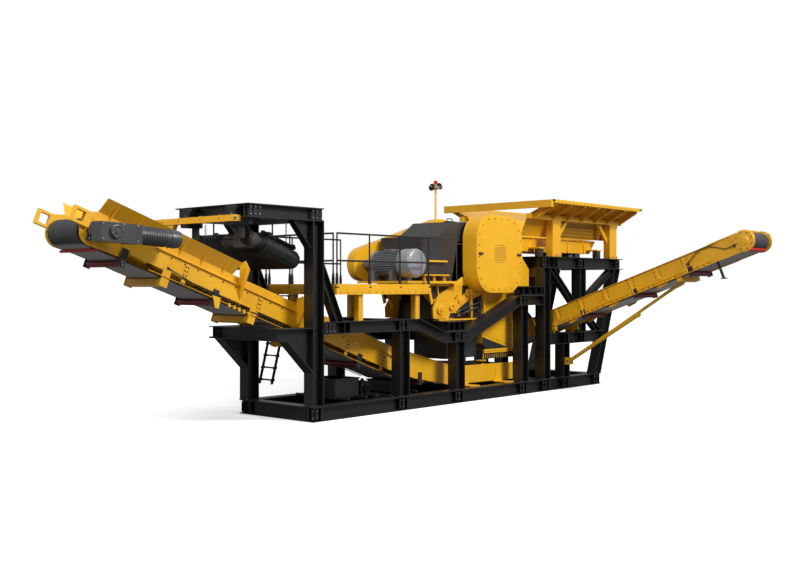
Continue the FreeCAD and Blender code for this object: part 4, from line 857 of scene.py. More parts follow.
def casting(look):
    arms, bosses, pockets, ribs, bolts, rods, springs = shapes(7)
    for side in (-1, 1):
        y = side * look["face"]

        def flat(shape, outline, near, deep, round=0.004):
            shape.plate(sideways(outline, y + side * near), (0, side * deep, 0), round)

        (x0, z0), (x1, z1) = look["arm"]
        w0, w1 = look["armWide"]
        flat(arms, [(x0 - 0.18, 2.14), (x0 + 0.30, 2.14), (x0 + 0.42, z0 + 0.02), (x1, z1 - w1),
                    (x1, z1 + w1 * 0.6), (x1 - 0.35, z1 - 0.11), (x0 + 0.02, z0 + w0 + 0.12),
                    (x0 - 0.20, z0 + 0.05)], 0.0, 0.06, 0.008)
        flat(arms, [(x0 - 0.05, 2.2), (x0 + 0.16, 2.2), (x1 - 0.05, z1 - 0.02), (x1 - 0.12, z1 - 0.01)],
             0.06, 0.025, 0.004)
        bosses.turned((x0 + 0.08, y + side * 0.06, z0), (0, side, 0),
                      [(0.12, 0.0), (0.12, 0.05), (0.10, 0.06), (0.07, 0.062), (0.065, 0.05), (0.04, 0.05),
                       (0.038, 0.09), (0.02, 0.095)], sides=36)
        for bx, bz, radius in look["bosses"]:
            bosses.turned((bx, y, bz), (0, side, 0),
                          [(radius, 0.0), (radius, 0.045), (radius - 0.02, 0.055), (radius * 0.55, 0.056),
                           (radius * 0.5, 0.02), (0.01, 0.02)], sides=28)
        # pockets read as shadowed recesses between the ribs
        for outline in look["pockets"]:
            flat(pockets, outline, 0.0, 0.004, 0.0)
        for outline in look["ribs"]:
            flat(ribs, outline, 0.0, look["rib"])
        flat(ribs, [(-1.3, 2.085), (0.72, 2.085), (0.72, 2.125), (-1.3, 2.125)], 0.0, 0.13)
        # shelf brackets beside the motor
        ribs.box((-1.57, y, 3.585), (-0.84, y + side * 0.03, 3.63), 0.004)
        ribs.box((-1.90, y - side * 0.05, 3.235), (-0.92, y + side * 0.16, 3.265), 0.004)
        for x in look["brackets"]:
            ribs.box((x, y, 3.10), (x + 0.05, y + side * 0.06, 3.24), 0.004)
        for k in range(12):
            bolts.bolt((-1.2 + 0.165 * k, y + side * 0.09, 2.125), (0, 0, 1), 0.024)
        for k in range(6):
            share = k / 5
            bolts.bolt((x0 + 0.34 + (x1 - x0 - 0.5) * share, y + side * 0.06,
                        z0 + 0.16 + (z1 - z0 - 0.34) * share), (0, side, 0), 0.02)
        # tension rods with their coil springs
        for lift in (0.0, 0.11):
            start = Vector((-0.50, y + side * 0.10, 2.20 + lift))
            end = Vector((0.42, y + side * 0.10, 2.44 + lift))
            rods.tube([start, end], 0.018)
            along = (end - start).normalized()
            rods.turned(start - along * 0.01, along,
                        [(0.04, 0.0), (0.04, 0.035), (0.02, 0.036), (0.02, 0.05)], sides=6)
            coil, steps = [], look["coils"] * look["perTurn"]
            across, over = Vector((0, 1, 0)), along.cross(Vector((0, 1, 0)))
            for k in range(steps + 1):
                turn = 2 * math.pi * k / look["perTurn"]
                ring = across * math.cos(turn) + over * math.sin(turn)
                coil.append(start + along * (0.06 + 0.30 * k / steps) + ring * look["coil"])
            springs.tube(coil, 0.008, 6)
        springs.box((0.36, y, 2.36), (0.46, y + side * 0.16, 2.66), 0.01)
        springs.turned((-0.30, y + side * 0.08, 2.33), (0.95, 0, 0.25),
                       [(0.05, 0.0), (0.055, 0.01), (0.055, 0.26), (0.05, 0.27)], sides=24)
    arms.done("crusher_arms", yellowEnamel, "plant_yellow")
    bosses.done("crusher_bosses", yellowEnamel, "plant_yellow")
    pockets.done("crusher_pockets", pocketShade, "plant_yellow", smooth=False)
    ribs.done("crusher_ribs", yellowEnamel, "plant_yellow")
    bolts.done("crusher_bolts", zincSteel, "plant_yellow")
    rods.done("jaw_tension_rods", zincSteel, "jaw_steel")
    springs.done("jaw_tension_springs", blackEnamel, "spring_dark")


casting(castingLook)

# Drive covers: seam straps, edge bolts and the fittings on top; tabs along the belt guard.
coverLow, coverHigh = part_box("drive_covers")
beltLow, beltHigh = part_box("belt_guard")


coverLook = {"seams": (-1.70, -0.36), "bolts": 9, "boltPitch": 0.165, "fittings": (-0.52, 0.42),
             "tabs": (-1.9, -0.9, 0.1)}


def coverDetails(look):
    seams, bolts, fittings, tabs = shapes(4)
    for side in (-1, 1):
        y = side * -coverLow.y
        for x in look["seams"]:
            seams.box((x, y, 3.13), (x + 0.035, y + side * 0.012, 4.20), 0.003)
        for k in range(look["bolts"]):
            for z in (4.19, 3.15):
                bolts.bolt((-1.68 + look["boltPitch"] * k, y, z), (0, side, 0), 0.014)
    for x in look["fittings"]:
        fittings.box((x, -0.60, coverHigh.z - 0.02), (x + 0.26, -0.42, coverHigh.z + 0.02), 0.006)
        fittings.tube([(x + 0.02, -0.51, coverHigh.z + 0.01), (x + 0.02, -0.51, coverHigh.z + 0.08),
                       (x + 0.24, -0.51, coverHigh.z + 0.08), (x + 0.24, -0.51, coverHigh.z + 0.01)], 0.014)
    seams.done("cover_seams", coverEnamel, "cover_grey")
    bolts.done("cover_bolts", blackSteel, "cover_grey")
    fittings.done("cover_fittings", blackEnamel, "cover_grey")
    # tabs along the belt guard's upper edge
    for y in (beltLow.y + 0.01, beltHigh.y - 0.03):
        for x in look["tabs"]:
            tabs.box((x, y, beltHigh.z - 0.9), (x + 0.03, y + 0.02, beltHigh.z - 0.72), 0.004)
    tabs.done("belt_guard_tabs", yellowEnamel, "plant_yellow")


coverDetails(coverLook)

# Chute: dark rubber apron round its foot, clamp bar and comb of rubber strips, bolt rows.
chuteLook = {"face": 0.722, "strip": 0.05, "gap": 0.035}


def chuteDetails(look):
    apron, bar, comb, bolts, hood = shapes(5)
    for side in (-1, 1):
        y = side * look["face"]
        foot = ((0.73, 1.60), (2.20, 1.19), (0.98, 1.19), (0.73, 1.42))
        apron.plate(sideways(foot, y), (0, side * 0.012, 0), 0.002)
        bar.box((0.76, y, 1.155), (2.18, y + side * 0.05, 1.26), 0.006)
        bar.box((0.76, y, 1.01), (2.18, y + side * 0.006, 1.16), 0.001)
        x = 0.80
        while x < 2.1:
            comb.box((x, y + side * 0.004, 1.00), (x + look["strip"], y + side * 0.022, 1.16), 0.003)
            x += look["strip"] + look["gap"]
        for k in range(12):
            bolts.bolt((0.82 + 0.115 * k, y + side * 0.05, 1.205), (0, side, 0), 0.014)
            bolts.bolt((0.80 + 0.118 * k, y, 1.66 - 0.033 * k), (0, side, 0), 0.014)
    apron.done("chute_aprons", sheetRubber, "skirt_rubber")
    bar.done("chute_clamp_bars", yellowEnamel, "plant_yellow")
    comb.done("chute_combs", sheetRubber, "skirt_rubber")
    bolts.done("chute_bolts", blackSteel, "plant_yellow")
    # rubber-lined dust hood over the belt, just behind the chute
    hood.box((-0.62, -0.56, 1.06), (0.70, 0.56, 1.62), 0.02)
    hood.box((-0.66, -0.59, 1.60), (0.71, 0.59, 1.65), 0.006)
    hood.done("belt_dust_hood", coverEnamel, "skirt_rubber")


chuteDetails(chuteLook)

# Hydraulic tank, pump block and valve cabinet on bearers below the deck.
equipmentLook = {"floor": 0.345, "boxes": ((-4.65, -3.85, -0.55, 0.35, 0.46), (-3.72, -3.42, -0.5, 0.1, 0.34),
                                           (-2.70, -2.05, -0.52, 0.3, 0.30))}


def equipment(look):
    boxes, knobs = shapes(2)
    base = look["floor"]
    for x0, x1, y0, y1, high in look["boxes"]:
        boxes.box((x0, y0, base), (x1, y1, base + high), 0.02)
        boxes.box((x0 - 0.02, y0 - 0.02, base + high - 0.03), (x1 + 0.02, y1 + 0.02, base + high), 0.006)
        for x in (x0 + 0.08, x1 - 0.14):
            boxes.box((x, -0.9, base - 0.002), (x + 0.06, 0.9, base + 0.05), 0.006)
        knobs.turned(((x0 + x1) / 2, y0 + 0.12, base + high), (0, 0, 1),
                     [(0.05, 0.0), (0.05, 0.03), (0.035, 0.04), (0.035, 0.07)], sides=20)
    knobs.turned((-3.6, -0.56, base + 0.17), (0, 1, 0), [(0.09, 0.0), (0.10, 0.02), (0.10, 0.30)], sides=24)
    boxes.done("hydraulic_boxes", blackEnamel, "frame_black")
    knobs.done("hydraulic_caps", blackSteel, "frame_black")


equipment(equipmentLook)
print("crusher, chute and hydraulics detailed")

# Fines conveyor: folded edges, joint ribs with bolt pairs, a bolt line, saddle clamps at the middle
# beams, a stub leg, and the head with its cable, drum scraper and side discs.
sideLook = {"flange": 0.05, "fold": 0.012, "ribGap": 0.78, "bolt": 0.014, "from": -6.2, "to": 0.6}


def sidePlateDetails(look):
    edges, ribs, bolts = shapes(3)
    for side, x in ((-1, sideRun["left"]), (1, sideRun["right"])):
        out = side * look["flange"]
        for low in (-sideRun["half"], sideRun["half"] - look["fold"]):
            sideBar(edges, look["to"], look["from"], low, low + look["fold"], x, x + out)
        # lower angle where the roller brackets bolt on
        sideBar(edges, -1.2, look["from"] + 0.2, -0.17, -0.15, x, x + side * 0.02)
        y = look["to"] - 0.4
        turn = 0
        while y > look["from"] + 0.2:
            ribLow = -sideRun["half"] if turn % 2 else -0.10
            sideBar(ribs, y, y - 0.03, ribLow, sideRun["half"], x, x + side * 0.04)
            for up in (0.19, 0.12, 0.05, -0.02):
                for dy in (0.07, -0.10):
                    py, pz = sideAt(y + dy, up)
                    bolts.bolt((x, py, pz), (side, 0, 0), look["bolt"])
            for step in range(4):
                py, pz = sideAt(y - 0.13 - 0.16 * step, -0.20)
                bolts.bolt((x, py, pz), (side, 0, 0), look["bolt"])
            y -= look["ribGap"]
            turn += 1
    edges.done("side_plate_edges", yellowEnamel, "plant_yellow")
    ribs.done("side_plate_ribs", yellowEnamel, "plant_yellow")
    bolts.done("side_plate_bolts", blackSteel, "plant_yellow")


sidePlateDetails(sideLook)

sideHeadLook = {"disc": 0.255, "scraper": 0.09}


def sideHeadDetails(look):
    low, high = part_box("side_head_drum")
    centre = (low + high) / 2
    discs, bolts = shapes(2)
    for side, x in ((-1, sideRun["left"] - 0.021), (1, sideRun["right"] + 0.021)):
        discs.turned((x, centre.y, centre.z), (side, 0, 0),
                     [(look["disc"], 0.0), (look["disc"] + 0.004, 0.006), (look["disc"], 0.012),
                      (0.12, 0.014), (0.11, 0.03), (0.05, 0.034)], sides=48)
        for k in range(8):
            angle = math.radians(45 * k + 20)
            bolts.bolt((x + side * 0.012, centre.y + 0.215 * math.cos(angle),
                        centre.z + 0.215 * math.sin(angle)), (side, 0, 0), 0.016)
    discs.done("side_head_discs", yellowEnamel, "plant_yellow")
    bolts.done("side_head_bolts", blackSteel, "plant_yellow")

    scraper = Shape()
    sy, sz = centre.y - 0.12, centre.z - 0.235
    scraper.tube([(sideRun["left"], sy + 0.03, sz), (sideRun["right"], sy + 0.03, sz)], 0.022)
    for k in range(5):
        x0 = sideRun["left"] + 0.09 + k * 0.178
        scraper.box((x0, sy - 0.02, sz), (x0 + 0.165, sy + 0.012, sz + look["scraper"]), 0.006)
    scraper.done("side_head_scraper", scraperPlastic, "roller_red")

    # cable that loops over the hood, clipped at both ends
    cable = Shape()
    x = sideRun["left"] - 0.03
    points = []
    for k in range(15):
        share = k / 14
        y, z = sideAt(-5.35 - 1.25 * share, -0.02 + 0.24 * math.sin(math.pi * min(1.0, share * 1.25)))
        points.append((x - 0.02, y, z))
    cable.tube(points, 0.012, 8)
    for p in (points[0], points[-1]):
        cable.box((p[0] - 0.02, p[1] - 0.03, p[2] - 0.03), (p[0] + 0.035, p[1] + 0.03, p[2] + 0.03), 0.006)
    cable.done("side_head_conduit", blackEnamel, "rail_black")

    # small handle bar above the drum and the stub leg that props the head on the ground when lowered
    handle = Shape()
    y, z = sideAt(-6.9, 0.26)
    handle.tube([(3.62, y + 0.2, z - 0.02), (3.62, y - 0.02, z), (4.33, y - 0.02, z),
                 (4.33, y + 0.2, z - 0.02)], 0.018)
    handle.done("side_head_handle", yellowEnamel, "plant_yellow")
    leg = Shape()
    y, z = sideAt(-6.05, -0.22)
    leg.plate([(3.47, y + 0.03, z), (3.47, y - 0.03, z), (3.47, y - 0.20, z - 0.42),
               (3.47, y - 0.14, z - 0.43)],
              (0.05, 0, 0), 0.004)
    leg.box((3.44, y - 0.24, z - 0.45), (3.55, y - 0.11, z - 0.42), 0.004)
    leg.done("side_stub_leg", blackEnamel, "frame_black")


sideHeadDetails(sideHeadLook)


saddleLook = {"clamps": (-0.95, -1.2), "gussets": (-1.62, -2.9, -4.35), "pans": ((-2.6, -3.6), (-4.1, -5.25)),
              "panUp": (-0.262, -0.256), "panInset": 0.08}


def sideSaddles(look):
    clamps, pins = shapes(2)
    for x in (sideRun["left"] - 0.06, sideRun["right"] + 0.02):
        for y in look["clamps"]:
            py, pz = sideAt(y, -sideRun["half"])
            clamps.plate([(x, py + 0.05, pz + 0.10), (x, py - 0.05, pz + 0.10), (x, py - 0.09, pz - 0.12),
                          (x, py + 0.09, pz - 0.12)], (0.04, 0, 0), 0.003)
            pins.turned((x - 0.03, py, pz + 0.02), (1, 0, 0), [(0.02, 0.0), (0.02, 0.10)], sides=16)
            pins.turned((x - 0.045, py, pz - 0.07), (1, 0, 0), [(0.014, 0.0), (0.014, 0.12)], sides=16)
    clamps.done("side_saddle_clamps", yellowEnamel, "plant_yellow")
    pins.done("side_saddle_pins", zincSteel, "plant_yellow")
    gussets = Shape()
    for x in (sideRun["left"] + 0.01, sideRun["right"] - 0.03):
        for y in look["gussets"]:
            py, pz = sideAt(y, -sideRun["half"])
            qy, qz = sideAt(y - 0.36, -sideRun["half"])
            gussets.plate([(x, py, pz), (x, qy, qz), (x, qy + 0.08, qz - 0.09), (x, py - 0.08, pz - 0.06)],
                          (0.014, 0, 0), 0.002)
    gussets.done("side_gussets", yellowEnamel, "plant_yellow")
    # pale galvanised pan that keeps fines off the return belt
    pan = Shape()
    for yStart, yEnd in look["pans"]:
        sideBar(pan, yStart, yEnd, *look["panUp"], sideRun["left"] + look["panInset"],
                sideRun["right"] - look["panInset"], 0.0)
    pan.done("side_under_pans", panSteel, "motor_silver", smooth=False)


panSteel = groundMetal("spangled galvanised sheet", {
    "dark": "#C2C5C8", "light": "#E2E4E6", "grain": 22.0, "rough": 0.5, "pit": 0.05})
sideSaddles(saddleLook)

# Telescopic prop: outer sleeve with a pinned collar, and a pin through the foot.
strutLook = {"foot": (4.095, -1.34, 0.80), "head": (3.915, -5.0, 3.02), "sleeve": 0.056}


def propDetails(look):
    sleeve, pins = shapes(2)
    foot, head = Vector(look["foot"]), Vector(look["head"])
    along = (head - foot).normalized()
    middle = foot.lerp(head, 0.62)
    sleeve.turned(foot + along * 0.12, along,
                  [(look["sleeve"], 0.0), (look["sleeve"], (middle - foot).length - 0.16),
                   (0.066, (middle - foot).length - 0.15), (0.066, (middle - foot).length - 0.06)], sides=24)
    sleeve.done("prop_sleeve", yellowEnamel, "plant_yellow")
    spot = foot.lerp(head, 0.6)
    pins.turned(spot - Vector((0.085, 0, 0)), (1, 0, 0), [(0.014, 0.0), (0.014, 0.17)], sides=12)
    pins.turned(foot - Vector((0.13, 0, 0)), (1, 0, 0), [(0.03, 0.0), (0.03, 0.26)], sides=16)
    pins.done("prop_pins", zincSteel, "plant_yellow")


propDetails(strutLook)
print("fines conveyor detailed")

# Hopper: pressed lip on the rim, deeper ribs under the flare, corner pins, bolt rows, and the
# feeder's side plates with their screen, bolts and drive.
hopperLook = {"startX": 2.42, "endX": 7.28, "rimY": 1.90, "rimZ": 5.35, "kink": (1.10, 5.02), "ribs": 7}


def hopperDetails(look):
    lip, ribs, bolts, corners = shapes(4)
    for side in (-1, 1):
        rim = side * look["rimY"]
        # rolled lip along the rim
        lip.tube([(look["startX"] + 0.01, rim, look["rimZ"] - 0.004),
                  (look["endX"] - 0.01, rim, look["rimZ"] - 0.004)], 0.022, 12)
        lip.box((look["startX"], rim, look["rimZ"] - 0.085),
                (look["endX"], rim + side * 0.022, look["rimZ"] - 0.005), 0.004)
        # ribs: deep at the beam, running out under the lip, each with its own flange
        for k in range(look["ribs"]):
            x = look["startX"] + 0.16 + k * (look["endX"] - look["startX"] - 0.34) / (look["ribs"] - 1)
            y0, z0 = side * (look["kink"][0] + 0.03), look["kink"][1] - 0.03
            y1, z1 = side * (look["rimY"] - 0.03), look["rimZ"] - 0.04
            ribs.plate([(x, y0, z0), (x, y1, z1), (x, y1, z1 - 0.075),
                        (x, side * 1.22, look["kink"][1] - 0.155), (x, y0, z0 - 0.10)], (0.014, 0, 0))
            ribs.plate([(x - 0.035, y1, z1 - 0.075), (x + 0.049, y1, z1 - 0.075),
                        (x + 0.049, side * 1.22, look["kink"][1] - 0.155),
                        (x - 0.035, side * 1.22, look["kink"][1] - 0.155)], (0, 0, -0.012))
        for k in range(24):
            x = look["startX"] + 0.2 + k * (look["endX"] - look["startX"] - 0.4) / 23
            bolts.bolt((x, rim + side * 0.022, look["rimZ"] - 0.045), (0, side, 0), 0.014)
        for x in (look["startX"], look["endX"] - 0.02):
            corners.turned((x - 0.03, rim, look["rimZ"] - 0.02), (1, 0, 0), [(0.035, 0.0), (0.035, 0.08)],
                           sides=20)
    lip.done("hopper_lips", yellowEnamel, "plant_yellow")
    ribs.done("hopper_ribs", yellowEnamel, "plant_yellow")
    bolts.done("hopper_lip_bolts", blackSteel, "plant_yellow")
    corners.done("hopper_corner_pins", blackSteel, "bracket_dark")


hopperDetails(hopperLook)


postLook = {"face": 1.24, "stations": (3.38, 6.55), "bolts": 4, "boltPitch": 0.11}


def hopperPostDetails(look):
    # flat straps with their bolts at the foot and the head of each post
    low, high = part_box("hopper_posts")
    straps, bolts = shapes(2)
    for side in (-1, 1):
        face = side * look["face"]
        for x in look["stations"]:
            straps.box((x - 0.03, face, low.z), (x + 0.44, face + side * 0.015, low.z + 0.09), 0.003)
            straps.box((x - 0.02, face, high.z - 0.10), (x + 0.43, face + side * 0.012, high.z - 0.02), 0.003)
            for k in range(look["bolts"]):
                boltX = x + 0.04 + look["boltPitch"] * k
                bolts.bolt((boltX, face + side * 0.015, low.z + 0.045), (0, side, 0), 0.02)
                bolts.bolt((boltX, face + side * 0.012, high.z - 0.06), (0, side, 0), 0.016)
    straps.done("hopper_post_straps", yellowEnamel, "plant_yellow")
    bolts.done("hopper_post_bolts", zincSteel, "plant_yellow")


hopperPostDetails(postLook)

# Lining plates and grizzly bars on the feeder's floor, worn to bare steel.
liningSteel = groundMetal("abrasion plate worn bright", {
    "dark": "#6E6A64", "light": "#9A958C", "grain": 60.0, "rough": 0.42, "pit": 0.25})
panLow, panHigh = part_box("feeder_pan")
feederLook = {"bars": 9, "barPitch": 0.13, "rowBolts": 22, "boltPitch": 0.165, "rows": (0.06, 0.33),
              "ribs": (3.2, 4.1, 5.0, 5.9), "exciters": ((5.35, -0.16), (5.72, -0.10)),
              "plates": ((2.4, 3.3), (4.68, 6.2))}


def feederDetails(look):
    bars, rows, drive, screen = shapes(4)
    floor = panLow.z + 0.02
    # tapered grizzly bars over the fines funnel
    for k in range(look["bars"]):
        y = look["barPitch"] * (k - look["bars"] // 2)
        bars.plate([(3.45, y - 0.035, floor), (3.45, y + 0.035, floor), (4.6, y + 0.022, floor),
                    (4.6, y - 0.022, floor)], (0, 0, 0.05), 0.004)
    bars.box((3.38, -0.6, floor), (3.47, 0.6, floor + 0.035), 0.006)
    for x0, x1 in look["plates"]:
        bars.box((x0, -0.63, floor), (x1, 0.63, floor + 0.012), 0.003)
    bars.done("feeder_grizzly", liningSteel, "jaw_steel")
    for side in (-1, 1):
        y = side * (-panLow.y - 0.39)
        for k in range(look["rowBolts"]):
            for up in look["rows"]:
                rows.bolt((panLow.x + 0.3 + k * look["boltPitch"], y, panLow.z + up), (0, side, 0), 0.014)
        for x in look["ribs"]:
            rows.box((x, y, panLow.z), (x + 0.016, y + side * 0.05, panHigh.z - 0.01), 0.002)
    rows.done("feeder_side_ribs", yellowEnamel, "plant_yellow")
    # exciter drums slung under the pan's rear, with end flanges
    for x, drop in look["exciters"]:
        drive.turned((x, -0.62, panLow.z + drop), (0, 1, 0),
                     [(0.10, 0.0), (0.14, 0.02), (0.14, 0.07), (0.115, 0.08), (0.115, 1.16), (0.14, 1.17),
                      (0.14, 1.22), (0.10, 1.24)], sides=32)
    drive.box((5.15, -0.5, panLow.z - 0.06), (5.95, 0.5, panLow.z - 0.002), 0.008)
    drive.done("feeder_exciter", gearEnamel, "motor_grey")
    # drilled guard sheet behind the posts
    for side in (-1, 1):
        screen.plate([(3.95, side * 0.815, 4.42), (6.72, side * 0.815, 4.42), (6.72, side * 0.99, 4.81),
                      (3.95, side * 0.99, 4.81)],
                     (0, side * 0.006, 0))
    screen.done("hopper_guard_sheets", drilledSheet, "plant_yellow", smooth=False)


def drilled(name, look):
    # round holes drilled every 90 mm: painted sheet with dark dots
    made, tree, shader, place = newMaterial(name)
    split = addNode(tree, "SeparateXYZ", {}, {"Vector": place})
    squares = []
    for axis in ("X", "Z"):
        scaled = addNode(tree, "Math", {"operation": "MULTIPLY", 1: perMetre(look["pitch"])},
                         {0: split.outputs[axis]})
        part = addNode(tree, "Math", {"operation": "FRACT"}, {0: scaled})
        centred = addNode(tree, "Math", {"operation": "SUBTRACT", 1: 0.5}, {0: part})
        squares.append(addNode(tree, "Math", {"operation": "POWER", 1: 2.0}, {0: centred}))
    total = addNode(tree, "Math", {"operation": "ADD"}, {0: squares[0], 1: squares[1]})
    hole = addNode(tree, "Math", {"operation": "LESS_THAN", 1: (look["hole"] / look["pitch"] / 2) ** 2},
                   {0: total})
    # the dark dots are painted shade for the openings
    body = mixColours(tree, hole, colour(look["sheet"]), colour("#1B1814"))
    setNode(tree, shader, {"Roughness": 0.45},
            {"Base Color": body})
    return made


# the sheet's darker ochre is the yellow enamel with painted shade, for its place under the hopper's flare
drilledSheet = drilled("drilled enamelled guard sheet", {"pitch": 90.0, "hole": 42.0, "sheet": "#C98E16"})
feederDetails(feederLook)
print("hopper and feeder detailed")

# Magnet: frame bars over it, drive box, chains up to the gantry's height, cleats across its belt.
magnetLow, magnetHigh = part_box("magnet_belt")
magnetLook = {"cleats": 12, "tilt": math.atan(0.3616), "half": 0.49, "depth": 0.20, "chainLink": 0.055}
magnetMiddle = (magnetLow + magnetHigh) / 2


def chain(shape, top, bottom, link):
    # round links, each turned a quarter from the last
    top, bottom = Vector(top), Vector(bottom)
    along = (bottom - top).normalized()
    count = int((bottom - top).length / (link * 0.72))
    across = along.orthogonal().normalized()
    for k in range(count):
        middle = top + along * (k + 0.5) * (bottom - top).length / count
        side = across if k % 2 else along.cross(across)
        loop = []
        for j in range(11):
            angle = 2 * math.pi * j / 10
            loop.append(middle + along * math.cos(angle) * link * 0.55 + side * math.sin(angle) * link * 0.3)
        shape.tube(loop, link * 0.11, 6)


def magnetDetails(look):
    tilted = Matrix.Rotation(look["tilt"], 3, "Y")

    def at(x, y, z):
        return magnetMiddle + tilted @ Vector((x, y, z))

    frameBars = Shape()
    top = look["depth"] + 0.03
    for x in (-0.36, 0.36):
        y = magnetLow.y + 0.12 - magnetMiddle.y
        low = [at(x - 0.04, y, top), at(x + 0.04, y, top), at(x + 0.04, y, top + 0.09),
               at(x - 0.04, y, top + 0.09)]
        frameBars.plate(low, (0, magnetHigh.y - magnetLow.y - 0.24, 0), 0.004)
    for y in (-1.15, -0.45, 0.45, 1.15):
        low = [at(-0.5, y - 0.04, top + 0.02), at(0.5, y - 0.04, top + 0.02),
               at(0.5, y + 0.04, top + 0.02), at(-0.5, y + 0.04, top + 0.02)]
        frameBars.plate(low, tilted @ Vector((0, 0, 0.07)), 0.004)
    # side channels that carry the pulley bearings
    for x in (-0.50, 0.505):
        low = [at(x, -1.28, -0.09), at(x, 1.28, -0.09), at(x, 1.28, 0.09), at(x, -1.28, 0.09)]
        frameBars.plate(low, tilted @ Vector((0.02, 0, 0)), 0.003)
        for y in (-1.195, 1.195):
            frameBars.turned(at(x, y, 0.0), tilted @ Vector((1, 0, 0)),
                             [(0.09, -0.01), (0.09, 0.04), (0.05, 0.055)], sides=24)
    frameBars.done("magnet_frame", blackEnamel, "magnet_black")

    cleats = Shape()
    for k in range(look["cleats"]):
        y = -0.98 + 1.96 * k / (look["cleats"] - 1)
        for z in (-look["depth"] - 0.012, look["depth"]):
            low = [at(-0.46, y - 0.012, z), at(0.46, y - 0.012, z), at(0.46, y + 0.012, z),
                   at(-0.46, y + 0.012, z)]
            cleats.plate(low, tilted @ Vector((0, 0, 0.012)), 0.002)
    for side in (-1, 1):
        for angle in (-60, 0, 60):
            out = Vector((0, side * math.cos(math.radians(angle)), math.sin(math.radians(angle))))
            tip = at(-0.46, side * 1.195, 0) + tilted @ (out * 0.2)
            aside = tilted @ Vector((0, -out.z, out.y)) * 0.012
            across = tilted @ Vector((0.92, 0, 0))
            low = [tip - aside, tip + aside, tip + aside + across, tip - aside + across]
            cleats.plate(low, tilted @ (out * 0.012))
    cleats.done("magnet_cleats", magnetRubber, "magnet_black")

    drive = Shape()
    driveLow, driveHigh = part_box("magnet_motor")
    spot = (driveLow + driveHigh) / 2
    along = tilted @ Vector((-1, 0, 0))
    drive.turned(spot - along * 0.02, along, [(0.16, -0.05), (0.17, 0.0), (0.17, 0.10), (0.12, 0.14),
                                              (0.12, 0.20), (0.06, 0.21)], sides=32)
    drive.box(spot + Vector((-0.16, -0.02, -0.17)), spot + Vector((0.14, 0.42, 0.12)), 0.02)
    drive.turned(spot + Vector((-0.02, 0.42, -0.02)), (0, 1, 0),
                 [(0.11, 0.0), (0.11, 0.30), (0.125, 0.31), (0.125, 0.42), (0.10, 0.45)], sides=32)
    drive.done("magnet_drive", gearEnamel, "magnet_black")

    chains = Shape()
    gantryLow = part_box("gantry_beams")[0].z
    for x, y in ((0.36, -1.0), (0.36, 1.0), (-0.36, 1.0)):
        start = at(x, y, top + 0.1)
        chain(chains, (start.x, start.y, gantryLow - 0.02), start, look["chainLink"])
    chains.done("magnet_chains", blackSteel, "magnet_black")

    # hanger block between the gantry's cross-beams, with its sheaves and pins
    blocks = Shape()
    for y in (-0.93, 0.62):
        blocks.box((-7.95, y - 0.02, gantryLow - 0.16), (-7.55, y + 0.26, gantryLow + 0.24), 0.012)
        blocks.turned((-7.99, y + 0.12, gantryLow + 0.05), (1, 0, 0),
                      [(0.10, 0.0), (0.11, 0.02), (0.11, 0.05)], sides=24)
        blocks.box((-7.72, y + 0.03, gantryLow - 0.42), (-7.60, y + 0.16, gantryLow - 0.12), 0.008)
    blocks.done("magnet_hanger_blocks", blackEnamel, "magnet_black")


magnetDetails(magnetLook)

# Yellow cross-beam: end cap, joint straps and the bracket that hangs under it.
yellowLow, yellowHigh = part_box("yellow_beam")
yellowLook = {"straps": (-0.55, 0.1, 0.85, 1.45), "proud": 0.008}


def yellowBeamDetails(look):
    straps, pins = shapes(2)
    proud, middleZ = look["proud"], (yellowLow.z + yellowHigh.z) / 2
    for y in look["straps"]:
        straps.box((yellowLow.x - proud, y - 0.03, yellowLow.z - proud),
                   (yellowHigh.x, y + 0.03, yellowHigh.z + proud), 0.003)
        pins.bolt((yellowLow.x - proud, y, middleZ), (-1, 0, 0), 0.016)
    hanging = ((1.05, 0.0), (1.42, 0.0), (1.36, 0.2), (1.2, 0.22))
    straps.plate([(yellowLow.x + 0.02, y, yellowLow.z - drop) for y, drop in hanging], (0.12, 0, 0), 0.004)
    straps.done("yellow_beam_straps", yellowEnamel, "plant_yellow")
    pins.turned((yellowLow.x + 0.05, yellowLow.y - 0.03, middleZ), (0, 1, 0),
                [(0.035, 0.0), (0.035, 0.06)], sides=20)
    pins.done("yellow_beam_pins", zincSteel, "plant_yellow")


yellowBeamDetails(yellowLook)

# Mast: junction collar, red beacon lens with ribs, and two black horns.
mastLow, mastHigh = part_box("mast")
redLens = drawnPlastic("red polycarbonate beacon lens", {
    "dark": "#B01212", "light": "#D81E1C", "rough": 0.15, "streak": (1.0, 1.0, 1.0)})


